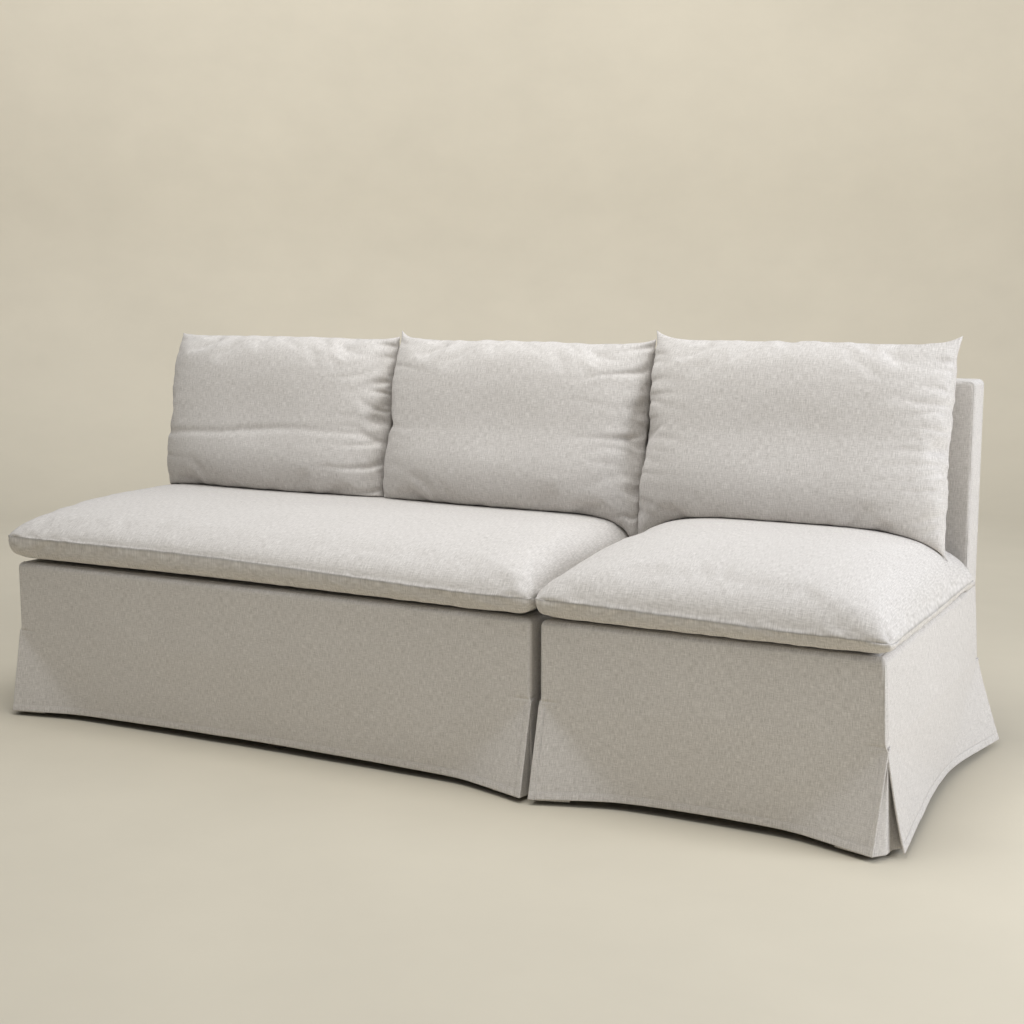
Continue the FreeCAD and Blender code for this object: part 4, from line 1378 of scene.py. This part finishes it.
backCushion = {
    "cells": (0.009, 0.0048),   # across and up
    "seat": 0.486,          # height of the lower seam, which rests on the seat
    "frontHalf": 0.090,
    "backHalf": 0.112,
    "lens": (3.4, 3.0),     # how full it is towards its sides, and towards its top and foot
    "seamPlane": 0.183,     # where the seam stands at mid height
    "seamDepth": 0.5,       # how much of the seam's bending is kept
    "waveSize": (0.05, 0.035),
    "lean": 12.0,
    "earRun": 0.024,        # pointed corners
    "tail": 0.006,
    "topBow": 0.003,        # the top seam is slightly arched
    "restRun": 0.07,        # how far up the cushion gives where it settles on the seat
    "restSoft": 0.004,
    "gap": 0.0012,          # room between the cushion and what it rests on
    "fillGap": 0.005,
    "sag": 0.014,           # the filling sinks to this place, over this height
    "sagPlace": -0.5,
    "sagRun": 0.4,
    "pressure": 1.6,
    "tension": 45,
    "bending": 0.5,
    "ease": 0.006,
    "gather": 0.016,
    "frames": 14,
    "cap": 0.030,
    "wrap": 0.004,          # the fill keeps inside its cover, and further at the rim
    "rimWrap": 0.014,
    # top of each cushion, how much its body is narrower and further left than its space, and wider at
    # the foot and at the ears, left and right; height of its ears; depth of the gathers at its edges and
    # how far they draw the outline in; its cross folds as height, slope, depth and sharpness; how far its
    # lower corners hang down
    "left": {
        "top": 0.921, "narrow": 0.004, "shift": 0.0, "foot": (-0.016, 0.004), "earOut": (0.002, 0.004),
        "ears": (0.007, 0.010), "right": 0.027, "left": 0.006, "upper": 0.002, "lower": 0.004,
        "wave": 0.003, "folds": [(-0.17, 0.06, 0.008, 0.65)], "droop": (0.004, 0.030), "seed": 2.3,
    },
    "centre": {
        "top": 0.938, "narrow": 0.003, "shift": 0.0, "foot": (0.0, 0.004), "earOut": (0.003, 0.004),
        "ears": (0.026, 0.017), "right": 0.027, "left": 0.010, "upper": 0.002, "lower": 0.004,
        "wave": 0.005, "folds": [(-0.05, 0.0, 0.004, 0.1)], "droop": (0.020, 0.045), "seed": 8.1,
    },
    "right": {
        "top": 0.950, "narrow": 0.010, "shift": 0.006, "foot": (0.006, 0.008), "earOut": (0.008, 0.014),
        "ears": (0.025, 0.025), "right": 0.013, "left": 0.011, "upper": 0.002, "lower": 0.004,
        "wave": 0.005, "folds": [(0.05, 0.0, 0.005, 0.1)], "droop": (0.045, 0.012), "seed": 5.7,
    },
}
gathers = {                 # size of the noise away from a seam and along it, and how the lines fade out
    "sides": {"away": 0.16, "along": 0.042, "slant": 0.12, "run": 0.040, "runSpread": 0.035, "runSize": 0.05,
              "width": 0.26, "level": 0.25, "start": 0.007},
    "ends": {"away": 0.13, "along": 0.045, "run": 0.035, "width": 0.30, "level": 0.3, "start": 0.008},
}
crossFolds = {
    "wander": (0.05, 1.7),  # how far and how often a fold wanders
    "line": 0.040,          # width of its sharp part and of its broad part
    "broad": 0.22,
    "strength": (0.75, 0.5, 2.5),   # how strong it is, how much that varies, and how often
}


def valley(value, width):
    # 1 along the lines where a noise crosses zero, falling to 0 beside them
    return max(0.0, 1 - abs(value) / width) ** 1.5


def foldsAt(u, v, halfX, halfZ, own):
    # how far the front panel stands back, from gathers along its seams and folds across it
    x, z, seed = u * halfX, v * halfZ, own["seed"]
    back = 0.0

    def gathered(look, key, line, reach, run):
        lines = own[key] * (valley(line, look["width"]) - look["level"])
        return lines * fading(reach, run) * (1 - fading(reach, look["start"]))

    look = gathers["sides"]
    run = look["run"] + look["runSpread"] * noiseAt(z / look["runSize"], 0, seed + 3)
    for key, reach in (("right", halfX - x), ("left", halfX + x)):
        line = noiseAt(reach / look["away"], (z + look["slant"] * reach) / look["along"], seed)
        back += gathered(look, key, line, reach, run)
    look = gathers["ends"]
    for key, reach in (("upper", halfZ - z), ("lower", halfZ + z)):
        line = noiseAt(x / look["along"], reach / look["away"], seed + 5)
        back += gathered(look, key, line, reach, look["run"])
    far, often = crossFolds["wander"]
    strength, vary, rate = crossFolds["strength"]
    for height, slope, depth, sharp in own["folds"]:
        wander = height + slope * u + far * noiseAt(u * often, 0, seed + 11)
        line, broad = bell(v - wander, crossFolds["line"]), bell(v - wander, crossFolds["broad"])
        uneven = strength + vary * noiseAt(u * rate, 3, seed)
        back += depth * (sharp * line + (1 - sharp) * broad) * uneven
    return back


def settleRim(points, index, us, vs, halfX, halfZ, own):
    # moves the simulated seam back to the sewn outline and carries the rest of the cloth along
    lastU, lastV = len(us) - 1, len(vs) - 1
    look = backCushion
    sizeX, sizeZ = look["waveSize"]

    def wanted(i, j):
        here = points[index[(i, j, 0)]]
        wider = halfX + own["foot"][us[i] > 0] * (0.5 - vs[j] / 2)
        wave = noiseAt(us[i] * halfX / sizeX, vs[j] * halfZ / sizeZ, own["seed"] + 17)
        x = us[i] * wider - own["wave"] * abs(wave) * math.copysign(abs(us[i]) == 1, us[i])
        z = vs[j] * halfZ - own["wave"] * abs(wave) * math.copysign(abs(vs[j]) == 1, vs[j])
        z += look["topBow"] * (1 - us[i] ** 2) * (vs[j] == 1)
        return np.array([x, here[1] * look["seamDepth"], z]) - here

    leftMove, rightMove = [[wanted(i, j) for j in range(lastV + 1)] for i in (0, lastU)]
    lowMove, highMove = [[wanted(i, j) for i in range(lastU + 1)] for j in (0, lastV)]
    for (i, j, panel), vertex in index.items():
        s, t = (us[i] + 1) / 2, (vs[j] + 1) / 2
        across = leftMove[j] * (1 - s) + rightMove[j] * s
        up = lowMove[i] * (1 - t) + highMove[i] * t
        corners = (lowMove[0] * (1 - s) + lowMove[lastU] * s) * (1 - t)
        corners = corners + (highMove[0] * (1 - s) + highMove[lastU] * s) * t
        points[vertex] += across + up - corners


def restOnSeat(piece, points, lean, middle, seat, seatTop, lowered, gap):
    # leans the cushion, lets its lower seam down to the seat, then presses it flat on the back and seat
    def seatBelow(row):
        hit = seatTop.ray_cast(Vector((row[0], row[1], rayHeight)), down)[0]
        return hit.z + gap if hit is not None else None

    soft = backCushion["restSoft"]
    turn = np.array(Matrix.Rotation(-lean, 3, "X"))
    points = points @ turn.T + np.array(middle)
    points[:, 1] = -softLimit(-points[:, 1], -(seat.insideBack - gap), soft)
    floating = {}
    for vertex, most in {(first, most) for first, most, share in lowered.values()}:
        below = seatBelow(points[vertex])
        floating[vertex] = min(max(points[vertex][2] - below, 0.0), most) if below is not None else most / 2
    for vertex, (first, most, share) in lowered.items():
        points[vertex][2] -= floating[first] * share
    for row in points:
        below = seatBelow(row)
        if below is not None:
            row[2] = float(softLimit(np.array(row[2]), below, soft))
    piece.data.vertices.foreach_set("co", points.astype(np.float32).ravel())


def makeBackCushion(side, seat, seatTop):
    name = side + "_back_cushion"
    look, own = backCushion, backCushion[side]
    low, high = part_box(name + "_cover")
    lean = math.radians(look["lean"])
    top = own["top"] - max(own["ears"]) * math.cos(lean)
    halfX, halfZ = (high.x - low.x) / 2 - own["narrow"], (top - look["seat"]) / math.cos(lean) / 2
    middle = Vector(((low.x + high.x) / 2 - own["shift"], look["seamPlane"], (top + look["seat"]) / 2))
    counts = [round(2 * half / cell) for half, cell in zip((halfX, halfZ), look["cells"])]
    us, vs = [[2 * k / count - 1 for k in range(count + 1)] for count in counts]

    def shape(u, v, panel):
        sides, ends = look["lens"]
        lens = ((1 - abs(u) ** sides) * (1 - abs(v) ** ends)) ** 0.5
        return Vector((u * halfX, -panel * look["frontHalf"] * lens, v * halfZ))

    def flat(u, v, panel):
        return (u * halfX + bolt["backCushions"], v * halfZ + (0 if panel > 0 else bolt["under"]))

    piece, index = sewnPanels(name, us, vs, shape, flat)
    rim = [vertex for (i, j, panel), vertex in index.items() if panel == 0]
    points = np.array([v.co for v in piece.data.vertices])
    points = simulate(piece, look, {}, dict.fromkeys(rim, 1.0))
    settleRim(points, index, us, vs, halfX, halfZ, own)
    deepest, shallowest = points[:, 1].max(), -points[:, 1].min()
    points[:, 1] *= np.where(points[:, 1] < 0, look["frontHalf"] / shallowest, look["backHalf"] / deepest)
    lowered = {}
    for (i, j, panel), vertex in index.items():
        u, v = us[i], vs[j]
        if panel > 0:
            sag = look["sag"] * bell(v - look["sagPlace"], look["sagRun"]) * (1 - u ** 4) * (1 - v ** 6)
            points[vertex, 1] += foldsAt(u, v, halfX, halfZ, own) - sag
        ear = fading((1 - abs(u)) * halfX + (1 - abs(v)) * halfZ, look["earRun"])
        points[vertex, 0] += math.copysign(own["earOut"][u > 0] * ear, u)
        points[vertex, 2] += (own["ears"][u > 0] if v > 0 else -look["tail"]) * ear
        share = fading((1 + v) * halfZ, look["restRun"])
        lowered[vertex] = (index[(i, 0, 0)], own["droop"][u > 0], share)
    fill = points.copy()
    for (i, j, panel), vertex in index.items():
        if panel > 0:
            front, back = points[vertex], points[index[(i, j, -1)]]
            half = (front - back) / 2
            keep = max(0.0, 1 - look["wrap"] / max(np.linalg.norm(half), 1e-6))
            fill[vertex] = (front + back) / 2 + half * keep
            fill[index[(i, j, -1)]] = (front + back) / 2 - half * keep
    fill[:, 0] *= 1 - look["rimWrap"] / halfX
    fill[:, 2] *= 1 - look["rimWrap"] / halfZ
    inner = addObject(name + "_filling", piece.data.copy())
    restOnSeat(piece, points, lean, middle, seat, seatTop, lowered, look["gap"])
    restOnSeat(inner, fill, lean, middle, seat, seatTop, lowered, look["fillGap"])
    dressCushion(piece, linenMaterial, rim)
    dressCushion(inner, waddingMaterial)
    finishPadded(piece, name, name + "_cover")
    finishPadded(inner, name, name + "_fill")
    print(name, "ready")


doubleTop = makeSeatCushion(doubleSeat)
singleTop = makeSeatCushion(singleSeat)
makeBackCushion("left", doubleSeat, doubleTop)
makeBackCushion("centre", doubleSeat, doubleTop)
makeBackCushion("right", singleSeat, singleTop)


# padding under the cover

pad = {"radius": 0.012, "cells": 0.04, "inset": 0.0015}


def makePad(seat, kind):
    # a thin slab with rounded edges, flat on the deck or upright in the back
    node = seat.name + "_" + kind
    low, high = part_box(node)
    upright = kind == "back_pad"
    across = 1 if upright else 2      # the axis through its thickness
    other = 2 if upright else 1
    half = (high - low) / 2 - Vector((1, 1, 1)) * pad["inset"]
    middle = (high + low) / 2
    us, vs = clusteredSpan(half.x, pad["cells"]), clusteredSpan(half[other], pad["cells"])

    def shape(u, v, side):
        point = middle.copy()
        point.x += u * half.x
        point[other] += v * half[other]
        rise = roundedRim(u, v, half.x, half[other], pad["radius"])
        point[across] += half[across] * rise * (-side if upright else side)
        return point

    piece = sewnPanels(node + "_wadding", us, vs, shape)[0]
    dressCushion(piece, waddingMaterial)
    finishPadded(piece, seat.body, node)


for seat in seats:
    makePad(seat, "deck_pad")
    makePad(seat, "back_pad")
print("pads ready")


# frame, webbing and glides keep their shape and get their finish

def finishFrame():
    plain = {
        "leg_glides": glideMaterial,
        "seat_webbing_long": juteMaterial,
        "seat_webbing_cross": juteMaterial,
        "back_webbing": juteMaterial,
        "front_rail": timberAlongX,
        "back_rail": timberAlongX,
        "back_top_rail": timberAlongX,
        "back_tack_rail": timberAlongX,
        "side_rail": timberAlongY,
        "centre_rail": timberAlongY,
        "corner_blocks": timberAlongZ,
        # painted shade: near black, so the legs read as the shadow under the hem
        "front_legs": paintedShadeLeg,
        "back_posts": timberAlongZ,
    }
    for name, thing in nodes.items():
        for ending, material in plain.items():
            if name.endswith(ending):
                thing.data.materials.clear()
                thing.data.materials.append(material)
    print("frame finished")


finishFrame()
